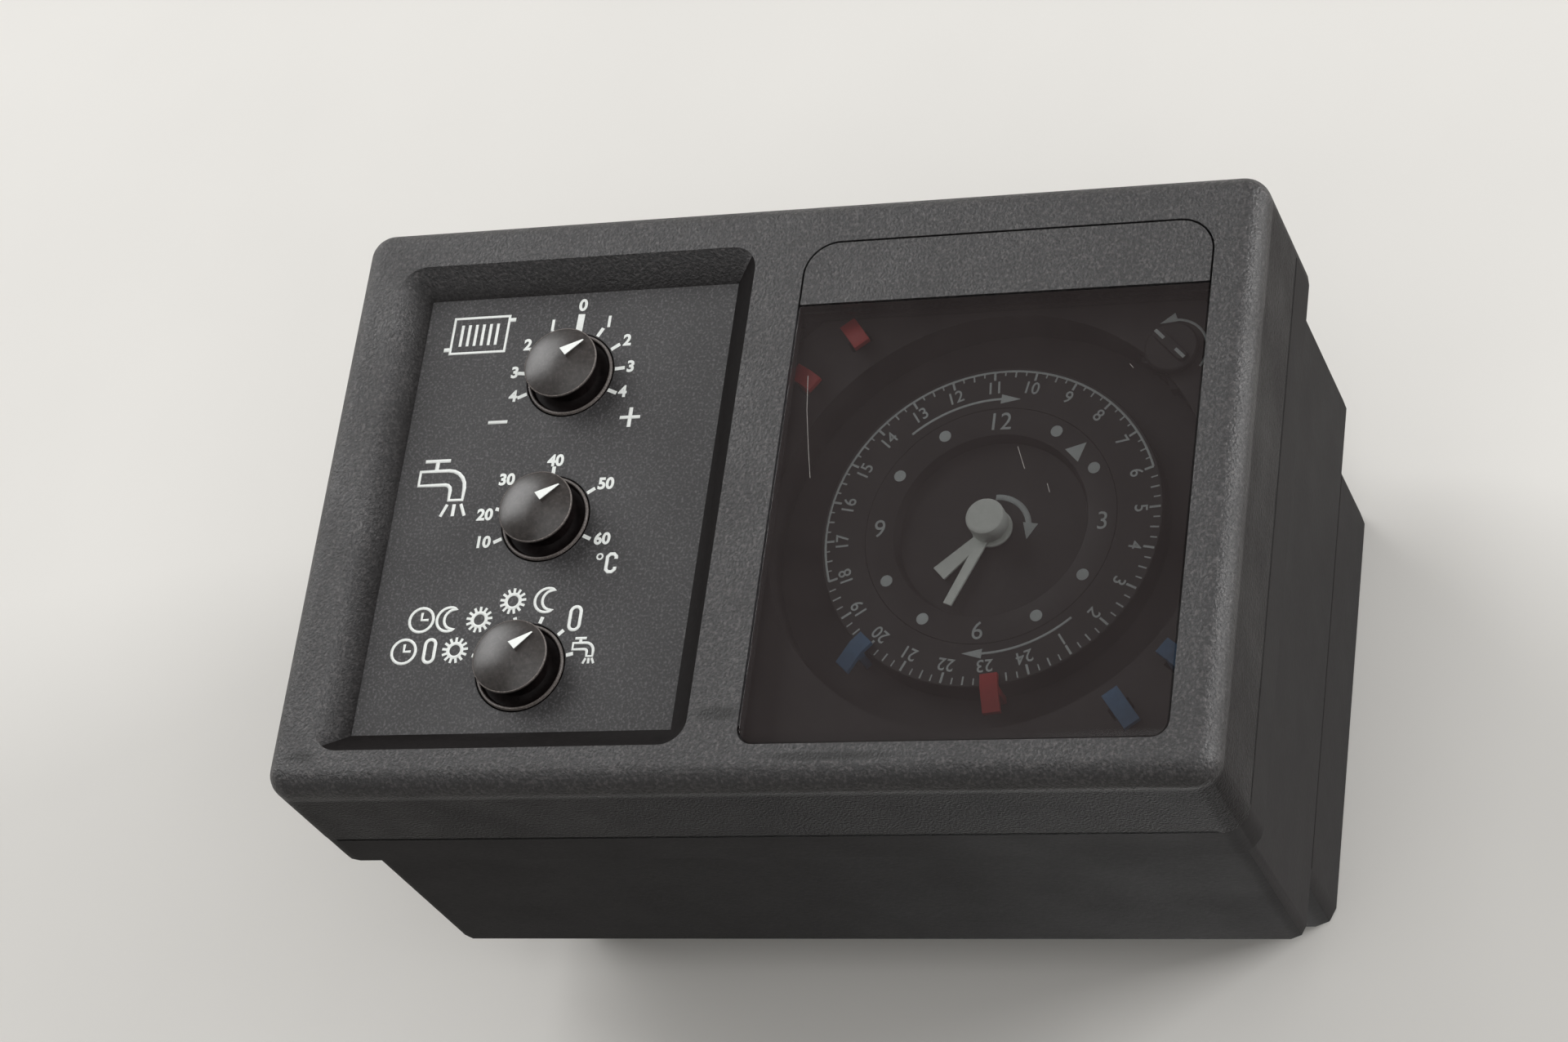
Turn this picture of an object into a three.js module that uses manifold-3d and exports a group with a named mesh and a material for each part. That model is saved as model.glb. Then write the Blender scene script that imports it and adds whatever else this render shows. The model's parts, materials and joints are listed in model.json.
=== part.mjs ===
// Flush-mounted heating controller with an analogue day clock, built as separate mouldings.
// Model frame: X right, Z up, the front looks along -Y, and Y = 0 is the plane of the wall.
// Every piece is modelled lying on its back: x right, y up, and a depth measured back from
// the front face of the bezel. One turned group then stands the whole controller upright.
import * as THREE from 'three';
import { mergeVertices } from 'three/addons/utils/BufferGeometryUtils.js';
import Module from 'manifold-3d';

const wasm = await Module();
wasm.setup();

// ---- driving dimensions, in millimetres ------------------------------------------------
const WIDTH = 144;             // panel format, across
const HEIGHT = 95;             // panel format, up
const DEPTH = 83.5;            // front face to wall
const WALL = 2.5;              // wall of the big mouldings
const GAP = 0.3;               // air between neighbouring pieces
const FRONT_FILLET = 3.5;      // round along the front edges
const CORNER = 4;              // corner radius in front view

const SEAM = 18.4;             // bezel ends, housing collar begins
const COLLAR_BACK = 27.25;     // face that seats on the panel
const BODY = { width: 138, height: 91, y: 0.3, back: 66.3, corner: 2.2 };
const BASE = { x: 5.75, y: -0.95, width: 126.5, height: 71.5, front: 66.6, wall: 2.2 };

const PANEL = { x: -35.07, y: -0.6, width: 50.9, height: 73.2, depth: 3.8, thick: 1.6 };
const PANEL_BEVEL = 4.05;      // run of the 45 degree bevel round the panel
const WINDOW = { x: 33.67, y: -0.75, width: 62.9, height: 81.3, corner: 5.5, foot: 2.6,
  depth: 2.3 };
const GRIP_HEIGHT = 10.9;      // opaque strip at the head of the flap
const WELL_DEPTH = 4.8;        // walls of the opening end here, just before the timer face
const HINGE = { y: -38.9, depth: 1.0, pin: 0.55, reach: 2.4 };   // where the round feet end

const KNOBS = [
  { name: 'curve', y: 21.8, angle: 49 },
  { name: 'water', y: -2.5, angle: 50 },
  { name: 'mode', y: -26.8, angle: 46 },
];
const KNOB_X = -35.05;
const KNOB_HOLE = 7.2;

const DIAL = { x: 33.66, y: -4.75 };
const FACE_DEPTH = 5.1;        // front of the timer face plate
const TROUGH = { radius: 33.1, floor: 11.6, wall: 1.1 };
const DAY = { depth: 7.0, inner: 18.9, outer: 25.5, web: 10.3, back: 11.3 };
const CLOCK = { radius: 18.6, well: 14.0, wellDepth: 8.8, back: 9.9 };
const RIDER_WIDTH = 2.6;
const PARK_RADIUS = 38.5;
const OVERRIDE = { x: 58.9, y: 21.1, radius: 4.0 };

const MODULE = 0.5;            // gear module of the clock train
const MOTOR_MODULE = 0.625;    // coarser teeth between the motor and the centre wheel
const IDLER_MODULE = 0.75;     // and between the hour pipe and the idler
const TRAIN = { pinion: 8, centre: 40, cannon: 10, motion: 30, motionPinion: 8, hour: 32,
  hourPinion: 12, dayIdler: 12, dayPinion: 12, day: 24 };   // teeth

// ---- materials -------------------------------------------------------------------------
const paint = (color, roughness, metalness = 0, extra = {}) =>
  new THREE.MeshStandardMaterial({ color, roughness, metalness, ...extra });
const CHARCOAL = () => paint(0x3b3b3d, 0.55);
const BLACK = () => paint(0x1d1b1b, 0.5);
const GREY_PRINT = () => paint(0x37373a, 0.6);
const WHITE = () => paint(0xe4e6df, 0.5);
const RED = () => paint(0xa5322f, 0.45);
const BLUE = () => paint(0x3f6ca3, 0.45);
const SMOKE = () => paint(0x2a2422, 0.08, 0, { transparent: true, opacity: 0.35 });
const BRASS = () => paint(0xb8913f, 0.35, 1);
const STEEL = () => paint(0xa9abad, 0.35, 1);
const BOARD = () => paint(0x2c5a3a, 0.5);
const NATURAL = () => paint(0xcfc8b6, 0.55);

// ---- solids ----------------------------------------------------------------------------
const rad = THREE.MathUtils.degToRad;
const up = (depth) => DEPTH - depth;

/** Merges a closed geometry's shared corners and makes it a solid for joining and cutting. */
function solid(geometry) {
  const bare = geometry.index ? geometry.toNonIndexed() : geometry.clone();
  bare.deleteAttribute('normal');
  bare.deleteAttribute('uv');
  const merged = mergeVertices(bare, 1e-4);
  return new wasm.Manifold(new wasm.Mesh({
    numProp: 3,
    vertProperties: new Float32Array(merged.attributes.position.array),
    triVerts: new Uint32Array(merged.index.array),
  }));
}

/** Turns a finished solid back into a three.js geometry. */
function geometryOf(body) {
  const mesh = body.getMesh();
  const geometry = new THREE.BufferGeometry();
  geometry.setAttribute('position', new THREE.BufferAttribute(mesh.vertProperties, 3));
  geometry.setIndex(new THREE.BufferAttribute(mesh.triVerts, 1));
  geometry.computeVertexNormals();
  return geometry;
}

/** Rectangle with rounded corners, centred on (x, y); its foot may have its own radius. */
function roundedRect(width, height, radius, x = 0, y = 0, foot = radius) {
  const [w, h] = [width / 2 - radius, height / 2 - radius];
  const [footW, footH] = [width / 2 - foot, height / 2 - foot];
  const shape = new THREE.Shape();
  shape.absarc(x + footW, y - footH, foot, -Math.PI / 2, 0);
  shape.absarc(x + w, y + h, radius, 0, Math.PI / 2);
  shape.absarc(x - w, y + h, radius, Math.PI / 2, Math.PI);
  shape.absarc(x - footW, y - footH, foot, Math.PI, 1.5 * Math.PI);
  return shape;
}

/** Closed outline through a few corners. */
function outline(points) {
  return new THREE.Shape(points.map(([x, y]) => new THREE.Vector2(x, y)));
}

/** Flat shape given thickness between two depths. */
function slab(shape, front, back, curveSegments = 2) {
  const geometry = new THREE.ExtrudeGeometry(shape, {
    depth: back - front, bevelEnabled: false, curveSegments });
  geometry.translate(0, 0, up(back));
  return solid(geometry);
}

/** Rectangular block with sharp edges, centred on (x, y). */
function block(width, height, front, back, x = 0, y = 0) {
  const geometry = new THREE.BoxGeometry(width, height, back - front);
  geometry.translate(x, y, up((front + back) / 2));
  return solid(geometry);
}

/** Block with rounded corners. */
function roundedBlock(width, height, radius, front, back, x = 0, y = 0) {
  return slab(roundedRect(width, height, radius, x, y), front, back, radius > 3 ? 2 : 1);
}

/** Body of revolution about the depth axis through (x, y); profile holds [radius, depth]. */
function turned(profile, x = 0, y = 0, sides = 48) {
  const points = profile.map(([r, depth]) => new THREE.Vector2(r, up(depth)));
  const geometry = new THREE.LatheGeometry(points, sides);
  geometry.rotateX(Math.PI / 2);
  geometry.translate(x, y, 0);
  return solid(geometry);
}

/** Round bar or disc between two depths. */
function disc(radius, front, back, x = 0, y = 0, sides = 32) {
  return turned([[0, back], [radius, back], [radius, front], [0, front]], x, y, sides);
}

/** Frustum whose rounded outline shrinks evenly from the front depth to the back depth. */
function taperedWell(rect, run, corner, front, back) {
  const outer = roundedRect(rect.width + 2 * run, rect.height + 2 * run, corner, rect.x, rect.y);
  const inner = roundedRect(rect.width, rect.height, Math.max(corner - run, 0.1), rect.x, rect.y);
  return loft(outer.getPoints(3), inner.getPoints(3), front, back);
}

/** Closed skin between two outlines with the same number of corners. */
function loft(frontPoints, backPoints, front, back) {
  const open = (list) => (list[0].distanceTo(list.at(-1)) < 1e-6 ? list.slice(0, -1) : list);
  const [a, b] = [open(frontPoints), open(backPoints)];
  const n = a.length;
  const place = (p, depth) => [p.x, p.y, up(depth)];
  const vertices = [...a.map((p) => place(p, front)), ...b.map((p) => place(p, back))].flat();
  const faces = THREE.ShapeUtils.triangulateShape(a, []);
  const index = [];
  for (const [i, j, k] of faces) index.push(i, j, k, n + i, n + k, n + j);
  for (let i = 0; i < n; i += 1) {
    const j = (i + 1) % n;
    index.push(i, n + i, j, j, n + i, n + j);
  }
  const geometry = new THREE.BufferGeometry();
  geometry.setAttribute('position', new THREE.Float32BufferAttribute(vertices, 3));
  geometry.setIndex(index);
  return solid(geometry);
}

/** Joins any number of solids. */
const join = (first, ...others) => others.reduce((body, other) => body.add(other), first);
/** Cuts any number of solids out of the first. */
const cut = (body, ...tools) => tools.reduce((rest, tool) => rest.subtract(tool), body);
/** Turns a solid clockwise, as the viewer sees it, about an axis through (x, y). */
function turn(body, degrees, x = 0, y = 0) {
  return body.translate([-x, -y, 0]).rotate([0, 0, -degrees]).translate([x, y, 0]);
}

// ---- gears -----------------------------------------------------------------------------
/** Spur gear outline with involute flanks; one tooth is centred on the given direction. */
function gearShape(teeth, towards, module) {
  const pitch = module * teeth / 2;
  const base = pitch * Math.cos(rad(20));
  const tip = pitch + 0.8 * module;
  const root = pitch - 1.15 * module;
  const involute = (r) => {
    const slope = Math.sqrt(Math.max(0, (r / base) ** 2 - 1));
    return slope - Math.atan(slope);
  };
  const halfTooth = 0.4 * Math.PI / teeth;       // a little thin, for running backlash
  const flank = (r) => halfTooth + involute(pitch) - involute(r);
  const start = Math.max(root, base);
  const radii = [root, tip];
  const points = [];
  for (let tooth = 0; tooth < teeth; tooth += 1) {
    const middle = towards + (2 * Math.PI * tooth) / teeth;
    const point = (r, side) => {
      const angle = middle + side * flank(Math.max(r, start));
      points.push([r * Math.cos(angle), r * Math.sin(angle)]);
    };
    radii.forEach((r) => point(r, -1));
    radii.toReversed().forEach((r) => point(r, 1));
  }
  return outline(points);
}

/** Spur gear between two depths, with a tooth (or a gap) facing the given direction. */
function gear(teeth, front, back, { x, y, towards, gap = false, bore = 0, module = MODULE }) {
  const first = towards + (gap ? Math.PI / teeth : 0);
  let wheel = slab(gearShape(teeth, first, module), front, back).translate([x, y, 0]);
  if (bore) wheel = cut(wheel, disc(bore, front - 1, back + 1, x, y, 12));
  return wheel;
}

// ---- shells ----------------------------------------------------------------------------
const POSTS = [[-1, -1], [1, -1], [1, 1], [-1, 1]].map(([i, j]) => [i * 65.2, j * 41]);
const SCREW = { shank: 1.4, head: 2.6, hole: 1.7, sink: 2.9, front: 9, shoulder: 29, back: 31.4 };
const STRIP_EDGE = WINDOW.y + WINDOW.height / 2 - GRIP_HEIGHT;
const SLOT_X = [-15, 15];      // snap hooks of the flap, about the window's middle
const SLOT_Y = 37.2;
const BOARD_PINS = [[-29.4, -30], [29.4, -30], [29.4, 30], [-29.4, 30]]
  .map(([x, y]) => [KNOB_X + x, y]);
const POWER_PINS = [[-54, -34], [54, -34], [54, 34], [-54, 34]];
const PLUG = { x: 4, width: 62, height: 8 };
const PLUGS = [{ name: 'upper', y: 20 }, { name: 'lower', y: -7 }];
const BASE_SCREWS = [[-47, BASE.y], [58, BASE.y]];
const WALL_SLOTS = [[-44, -26], [55.5, -26], [55.5, 24], [-44, 24]];
const WIRE = { x: 4, y: -25.5, width: 56, height: 12 };

/** Front block with its four front edges rounded, before it is hollowed. */
function filletedFront() {
  const f = FRONT_FILLET;
  const shape = roundedRect(WIDTH - 2 * f, HEIGHT - 2 * f, CORNER - f);
  const geometry = new THREE.ExtrudeGeometry(shape, {
    depth: SEAM, bevelEnabled: true, bevelThickness: f, bevelSize: f, bevelSegments: 4,
    curveSegments: 2 });
  geometry.translate(0, 0, up(SEAM + f));
  return solid(geometry).intersect(block(WIDTH + 2, HEIGHT + 2, -1, SEAM));
}

/** Front shell: bevelled panel recess, rebate and well for the flap, screw posts and ribs. */
function frontBezel() {
  const skin = 2.6;
  const panelBack = PANEL.depth - GAP / 2;
  const frame = { width: PANEL.width + 2 * PANEL_BEVEL + 3, height: PANEL.height + 2 * PANEL_BEVEL + 2 };
  const hollow = roundedBlock(WIDTH - 2 * WALL, HEIGHT - 2 * WALL, 1.5, skin, SEAM + 1);
  const foot = WINDOW.y - WINDOW.height / 2;
  let body = cut(filletedFront(), hollow);
  body = join(body,
    block(frame.width, frame.height, skin - 0.5, panelBack, PANEL.x, PANEL.y),
    block(WINDOW.width + 4, GRIP_HEIGHT + 4, skin - 0.5, WELL_DEPTH, WINDOW.x, STRIP_EDGE + 6.5),
    block(WINDOW.width + 4, 5, skin - 0.5, WELL_DEPTH, WINDOW.x, foot - 0.75),
    block(1.6, HEIGHT - 2 * WALL + 1, skin - 0.5, 9, -2.6, 0),
    ...POSTS.map(([x, y]) => disc(2.6, skin - 0.5, SEAM - GAP, x, y, 8)),
    ...BOARD_PINS.map(([x, y]) => disc(1.4, skin, 16.7, x, y, 6)),
    ...BOARD_PINS.map(([x, y]) => disc(0.9, 16, 19.4, x, y, 6)));
  const ledge = block(WINDOW.width + 2, GRIP_HEIGHT + 2, WINDOW.depth, WELL_DEPTH + 2,
    WINDOW.x, STRIP_EDGE + GRIP_HEIGHT / 2 + 1);
  const opening = cut(slab(roundedRect(WINDOW.width, WINDOW.height, WINDOW.corner, WINDOW.x,
    WINDOW.y, WINDOW.foot), -1, WELL_DEPTH + 1, 3), ledge);
  const hingeHole = (side) => sideBar(HINGE.pin + 0.2, HINGE.reach + 0.3, side);
  return cut(body,
    taperedWell(PANEL, PANEL_BEVEL, PANEL_BEVEL - 0.1, 0, panelBack),
    block(PANEL.width - 0.2, PANEL.height - 0.2, panelBack - 0.5, panelBack + 0.5, PANEL.x, PANEL.y),
    opening,
    ...SLOT_X.map((x) => block(5.2, 2.6, 1, WELL_DEPTH + 1, WINDOW.x + x, SLOT_Y)),
    ...POSTS.map(([x, y]) => disc(SCREW.hole, 8, SEAM + 1, x, y, 8)),
    hingeHole(-1), hingeHole(1));
}

/** Round bar along x at the flap's hinge, crossing the gap at one side of the window. */
function sideBar(radius, reach, side) {
  const geometry = new THREE.CylinderGeometry(radius, radius, 2 * reach, 12);
  geometry.rotateZ(Math.PI / 2);
  geometry.translate(WINDOW.x + side * WINDOW.width / 2, HINGE.y, up(HINGE.depth));
  return solid(geometry);
}

/** Housing: collar that seats on the panel, body that passes through it, corner posts. */
function mainHousing() {
  const front = SEAM + GAP;
  const inner = { width: BODY.width - 2 * WALL, height: BODY.height - 2 * WALL };
  const lip = { width: WIDTH - 2 * WALL - 2 * GAP, height: HEIGHT - 2 * WALL - 2 * GAP };
  const outside = join(
    roundedBlock(WIDTH, HEIGHT, CORNER, front, COLLAR_BACK),
    roundedBlock(BODY.width, BODY.height, BODY.corner, COLLAR_BACK - 1, BODY.back, 0, BODY.y),
    cut(roundedBlock(lip.width, lip.height, 1.2, SEAM - 2.5, front + 1),
      roundedBlock(lip.width - 1.6, lip.height - 1.6, 0.6, SEAM - 3, front + 2)));
  const hollow = roundedBlock(inner.width, inner.height, 1, front - 1, BODY.back - WALL, 0, BODY.y);
  const posts = POSTS.map(([x, y]) => roundedBlock(6.6, 6.6, 2.4, front + 0.4, BODY.back - 1,
    x - 0.5 * Math.sign(x), y));
  const pillars = POWER_PINS.map(([x, y]) => disc(2.5, 59.4, BODY.back - 1, x, y, 8));
  const pins = POWER_PINS.map(([x, y]) => disc(1.0, 56.8, 60, x, y, 6));
  const notch = (side, level) => block(3.7, 1.6, COLLAR_BACK + 0.4, COLLAR_BACK + 3.4,
    side * (BODY.width / 2 - 1.85), BODY.y + level * (BODY.height / 2 - 0.8));
  return cut(join(cut(outside, hollow), ...posts, ...pillars, ...pins),
    ...POSTS.map(([x, y]) => disc(SCREW.hole, front - 1, BODY.back + 1, x, y, 8)),
    ...POSTS.map(([x, y]) => disc(SCREW.sink, SCREW.shoulder - GAP, BODY.back + 1, x, y, 12)),
    ...PLUGS.map(({ y }) => block(PLUG.width + 1, PLUG.height + 1, 60, BODY.back + 1, PLUG.x, y)),
    ...BASE_SCREWS.map(([x, y]) => disc(1.6, 60, BODY.back + 1, x, y, 12)),
    notch(-1, -1), notch(1, -1), notch(-1, 1), notch(1, 1));
}

/** Rear base: a tray against the wall with screw slots, a wire opening and two bosses. */
function rearBase() {
  const floor = DEPTH - BASE.wall;
  const tray = cut(roundedBlock(BASE.width, BASE.height, 3, BASE.front, DEPTH, BASE.x, BASE.y),
    roundedBlock(BASE.width - 2 * BASE.wall, BASE.height - 2 * BASE.wall, 1.4,
      BASE.front - 1, floor, BASE.x, BASE.y));
  const bosses = BASE_SCREWS.map(([x, y]) => disc(4.4, BASE.front, floor + 1, x, y, 12));
  const ribs = [-31, 39].map((x) => block(1.4, BASE.height - 3, floor - 5, floor + 1, x, BASE.y));
  return cut(join(tray, ...bosses, ...ribs),
    ...BASE_SCREWS.map(([x, y]) => disc(1.8, BASE.front - 1, DEPTH + 1, x, y, 8)),
    ...BASE_SCREWS.map(([x, y]) => disc(3.2, 80, DEPTH + 1, x, y, 12)),
    ...WALL_SLOTS.map(([x, y]) => roundedBlock(8, 4.4, 2.1, floor - 1, DEPTH + 1, x, y)),
    roundedBlock(WIRE.width, WIRE.height, 2, floor - 6, DEPTH + 1, WIRE.x, WIRE.y));
}

/** Case screw, driven from the back through a corner post. */
function caseScrew([x, y]) {
  const body = join(disc(SCREW.shank, SCREW.front, SCREW.shoulder + 0.5, x, y, 6),
    disc(SCREW.head, SCREW.shoulder, SCREW.back, x, y, 8));
  return cut(body, block(4, 0.9, SCREW.back - 1, SCREW.back + 1, x, y),
    block(0.9, 4, SCREW.back - 1, SCREW.back + 1, x, y));
}

/** Screw that pulls the rear base against the housing. */
function baseScrew([x, y]) {
  return cut(join(disc(1.3, 61, 81, x, y, 6), disc(2.8, 80.3, 82.4, x, y, 10)),
    block(4, 0.9, 81.6, 83, x, y));
}

// ---- control panel ---------------------------------------------------------------------
/** Printed panel behind the bevelled opening, clamped there by the three controls. */
function controlPanel() {
  const front = PANEL.depth + GAP / 2;
  const plate = block(PANEL.width + 4.4, PANEL.height + 4.4, front, front + PANEL.thick,
    PANEL.x, PANEL.y);
  return cut(plate,
    ...KNOBS.map(({ y }) => disc(KNOB_HOLE, 0, 10, KNOB_X, y, 20)));
}

const CAP = { radius: 5.85, rim: 0.1, apex: -1.3 };
const SKIRT = { radius: 6.8, lip: 3.9, back: 5.9 };
const POINTER = { inner: 1.1, outer: 4.8, half: 0.85, top: -2.4, fall: 1.5, thick: 0.4 };

/** Mushroom knob: domed cap, hollow waist, dished skirt sunk in the panel, and a hub. */
function knob({ y, angle }) {
  const rise = CAP.rim - CAP.apex;
  const sphere = (CAP.radius ** 2 + rise ** 2) / (2 * rise);
  const dome = [];
  for (let i = 0; i <= 3; i += 1) {
    const r = CAP.radius * i / 3;
    dome.push([r, CAP.apex + sphere - Math.sqrt(sphere ** 2 - r ** 2)]);
  }
  const waist = [[5.6, 0.6], [4.35, 1.5], [4.4, 3.0], [6.2, 4.3],
    [SKIRT.radius - 0.2, SKIRT.lip], [SKIRT.radius, SKIRT.lip + 0.2]];
  const body = turned([...dome, ...waist, [SKIRT.radius, SKIRT.back], [4.6, SKIRT.back],
    [4.6, 7.5], [0, 7.5]].reverse(), KNOB_X, y, 18);
  const bore = disc(3.3, 1.2, 9, KNOB_X, y, 8);
  const ridge = pointerWedge({ y, angle }, POINTER.thick + 0.2, 1.2);
  return join(cut(body, bore), ridge);
}

/** Wedge that narrows and falls towards the rim of the cap, some way below its crown. */
function pointerWedge({ y, angle }, below, thick) {
  const { inner, outer, half, top, fall } = POINTER;
  const level = (extra) => [[inner, -half], [outer, -0.08], [outer, 0.08], [inner, half]]
    .map(([r, side]) => [r, side,
      up(top + below + extra + fall * (r - inner) / (outer - inner))]);
  const vertices = [...level(0), ...level(thick)].flat();
  const index = [0, 1, 2, 0, 2, 3, 4, 6, 5, 4, 7, 6];
  for (let i = 0; i < 4; i += 1) {
    const j = (i + 1) % 4;
    index.push(i, 4 + i, j, j, 4 + i, 4 + j);
  }
  const geometry = new THREE.BufferGeometry();
  geometry.setAttribute('position', new THREE.Float32BufferAttribute(vertices, 3));
  geometry.setIndex(index);
  return turn(solid(geometry), angle - 90).translate([KNOB_X, y, 0]);
}

/** Spindle with a flat, from inside the knob to the control behind it. */
function spindle({ y, angle }) {
  const bar = disc(2.9, 1.5, 15.5, KNOB_X, y, 8);
  const flat = block(8, 3, 0, 8, KNOB_X, y - 3.6);
  return cut(bar, turn(flat, angle, KNOB_X, y));
}

/** Rotary potentiometer: can, threaded bush and three legs on the board side. */
function potentiometer({ y }) {
  const can = disc(8.2, 9.2, 15.9, KNOB_X, y, 14);
  const wafer = block(13, 5, 13.4, 15.9, KNOB_X, y - 8.4);
  const legs = [-4, 0, 4].map((x) => block(1, 0.6, 15.4, 16.7, KNOB_X + x, y - 9.6));
  return cut(join(can, wafer, ...legs, disc(4.8, 7.9, 10, KNOB_X, y, 12)),
    disc(3.3, 7, 15.7, KNOB_X, y, 12));
}

/** Six-way rotary switch: square wafer stack with cut corners and a bush. */
function modeSwitch({ y }) {
  const stack = join(roundedBlock(21, 18, 3, 9.2, 11.4, KNOB_X, y),
    roundedBlock(19, 16, 3, 11, 13.6, KNOB_X, y), roundedBlock(21, 18, 3, 13.3, 15.9, KNOB_X, y));
  const legs = [-7.5, -2.5, 2.5, 7.5].map((x) => block(1, 0.6, 15.4, 16.7, KNOB_X + x, y - 7));
  return cut(join(stack, ...legs, disc(4.8, 7.9, 10, KNOB_X, y, 12)),
    disc(3.3, 7, 15.7, KNOB_X, y, 12));
}

// ---- flap ------------------------------------------------------------------------------
const FLAP = { width: WINDOW.width - 2 * GAP, height: WINDOW.height - 2 * GAP,
  corner: WINDOW.corner - GAP, foot: WINDOW.foot - GAP, thick: 2.0 };
const TOE = { height: 1.2, depth: 0.45 };       // bevel along the foot, which swings inwards
const TONGUE = { width: 52, height: 6, front: 1.2 };

/** Whole flap outline, bevelled along its foot. */
function flapBlank() {
  const plate = slab(roundedRect(FLAP.width, FLAP.height, FLAP.corner, WINDOW.x, WINDOW.y,
    FLAP.foot), 0, FLAP.thick, 3);
  const foot = WINDOW.y - FLAP.height / 2;
  const wedge = outline([[foot + TOE.height, up(0)], [foot - 1, up(0) + 1],
    [foot - 1, up(TOE.depth * (1 + 1 / TOE.height))]]);
  const geometry = new THREE.ExtrudeGeometry(wedge, {
    depth: FLAP.width + 2, bevelEnabled: false });
  geometry.applyMatrix4(new THREE.Matrix4().set(
    0, 0, 1, WINDOW.x - FLAP.width / 2 - 1, 1, 0, 0, 0, 0, 1, 0, 0, 0, 0, 0, 1));
  return cut(plate, solid(geometry));
}

/** Smoked clear part of the flap, with a tongue for the grip and a peg at each side. */
function flapWindow() {
  const above = (gap) => block(FLAP.width + 2, 20, -1, 3, WINDOW.x, STRIP_EDGE - gap + 10);
  const tongue = block(TONGUE.width, TONGUE.height + 2, TONGUE.front, FLAP.thick,
    WINDOW.x, STRIP_EDGE + TONGUE.height / 2 - 1);
  return join(cut(flapBlank(), above(0)), tongue,
    sideBar(HINGE.pin, HINGE.reach, -1), sideBar(HINGE.pin, HINGE.reach, 1));
}

/** Opaque grip along the head of the flap, with two snap hooks behind it. */
function flapGrip() {
  const below = block(FLAP.width + 2, 90, -1, 3, WINDOW.x, STRIP_EDGE + GAP - 45);
  const pocket = block(TONGUE.width + 2 * GAP, TONGUE.height + 1 + 2 * GAP,
    TONGUE.front - GAP, 3, WINDOW.x, STRIP_EDGE + TONGUE.height / 2);
  const hooks = SLOT_X.map((x) => join(
    block(4.2, 1.1, 1, 5.6, WINDOW.x + x, SLOT_Y - 0.3),
    block(4.2, 1.6, 5.0, 5.9, WINDOW.x + x, SLOT_Y)));
  return join(cut(flapBlank(), below, pocket), ...hooks);
}

// ---- day clock -------------------------------------------------------------------------
const PARKED = [-37.2, -52, 142.8, 127.3];   // clockwise from the top

/** Face plate with the round trough in which the riders travel. */
function timerFace() {
  const half = 34.5;
  const nip = 6;
  const skirt = -half - 3.2;                     // closes the opening behind the flap's foot
  const plate = slab(outline([[-half, skirt], [half - nip, skirt], [half - nip, -half + 1],
    [half, -half + nip], [half, half - nip], [half - nip, half], [-half + nip, half],
    [-half, half - nip]]),
    FACE_DEPTH, FACE_DEPTH + 1.6).translate([DIAL.x, DIAL.y, 0]);
  const cup = disc(TROUGH.radius + TROUGH.wall, FACE_DEPTH + 0.5, TROUGH.floor + 1.2,
    DIAL.x, DIAL.y, 36);
  const boss = disc(1.8, TROUGH.floor, 14.6, ...IDLER, 10);
  const slots = PARKED.map((angle) => turn(block(2.0, RIDER_WIDTH + 0.8, 0, 9,
    DIAL.x + PARK_RADIUS - 0.65, DIAL.y), angle - 90, DIAL.x, DIAL.y));
  return cut(join(plate, cup, boss),
    disc(TROUGH.radius, FACE_DEPTH - 1, TROUGH.floor, DIAL.x, DIAL.y, 36),
    disc(4.1, 8, 14, DIAL.x, DIAL.y, 12),
    disc(0.9, 12.9, 15, ...IDLER, 8),
    disc(1.8, 3, 9, OVERRIDE.x, OVERRIDE.y, 12),
    disc(5.7, FACE_DEPTH + 1.6, 10.2, OVERRIDE.x, OVERRIDE.y, 12),
    disc(2.7, 10, 14, OVERRIDE.x, OVERRIDE.y, 12),
    ...slots);
}

/** Fixed clock face: numeral ring, sunk middle for the hands, and the pipe that holds it. */
function clockFace() {
  const { radius, well, wellDepth, back } = CLOCK;
  return turned([[1.9, 19.8], [2.6, 19.8], [2.6, back], [well + 1.3, back], [well + 1.3, 8.3],
    [radius, 8.3], [radius, DAY.depth], [well + 0.6, DAY.depth], [well, wellDepth],
    [1.9, wellDepth], [1.9, 19.8]], DIAL.x, DIAL.y, 24);
}

/** Day dial: printed ring, drum rim, web behind the clock face, and its pipe. */
function dayDial() {
  const { depth, inner, outer, web, back } = DAY;
  return turned([[2.9, 19], [3.8, 19], [3.8, back], [outer, back], [outer, depth + 0.2],
    [outer - 0.2, depth], [inner, depth], [inner, depth + 1.3], [outer - 1.6, depth + 1.3],
    [outer - 1.6, web], [2.9, web], [2.9, 19]], DIAL.x, DIAL.y, 30);
}

/** Plug-in rider: sloping tab with a leg that grips the rim of the dial. */
function rider(angle, shift = 0, raise = 0) {
  const rim = DAY.outer;
  const shape = outline([[24, 6.7], [24, 6.0], [rim + 0.6, 5.8], [29.5, 7.2], [29.5, 8.1],
    [rim + 1.4, 7.0], [rim + 1.4, 10.6], [rim + 0.3, 10.6], [rim + 0.3, 6.7]]
    .map(([r, depth]) => [r + shift, up(depth - raise)]));
  const geometry = new THREE.ExtrudeGeometry(shape, { depth: RIDER_WIDTH, bevelEnabled: false });
  geometry.translate(0, 0, -RIDER_WIDTH / 2);
  geometry.rotateX(Math.PI / 2);
  geometry.translate(DIAL.x, DIAL.y, 0);
  return turn(solid(geometry), angle - 90, DIAL.x, DIAL.y);
}

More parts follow.
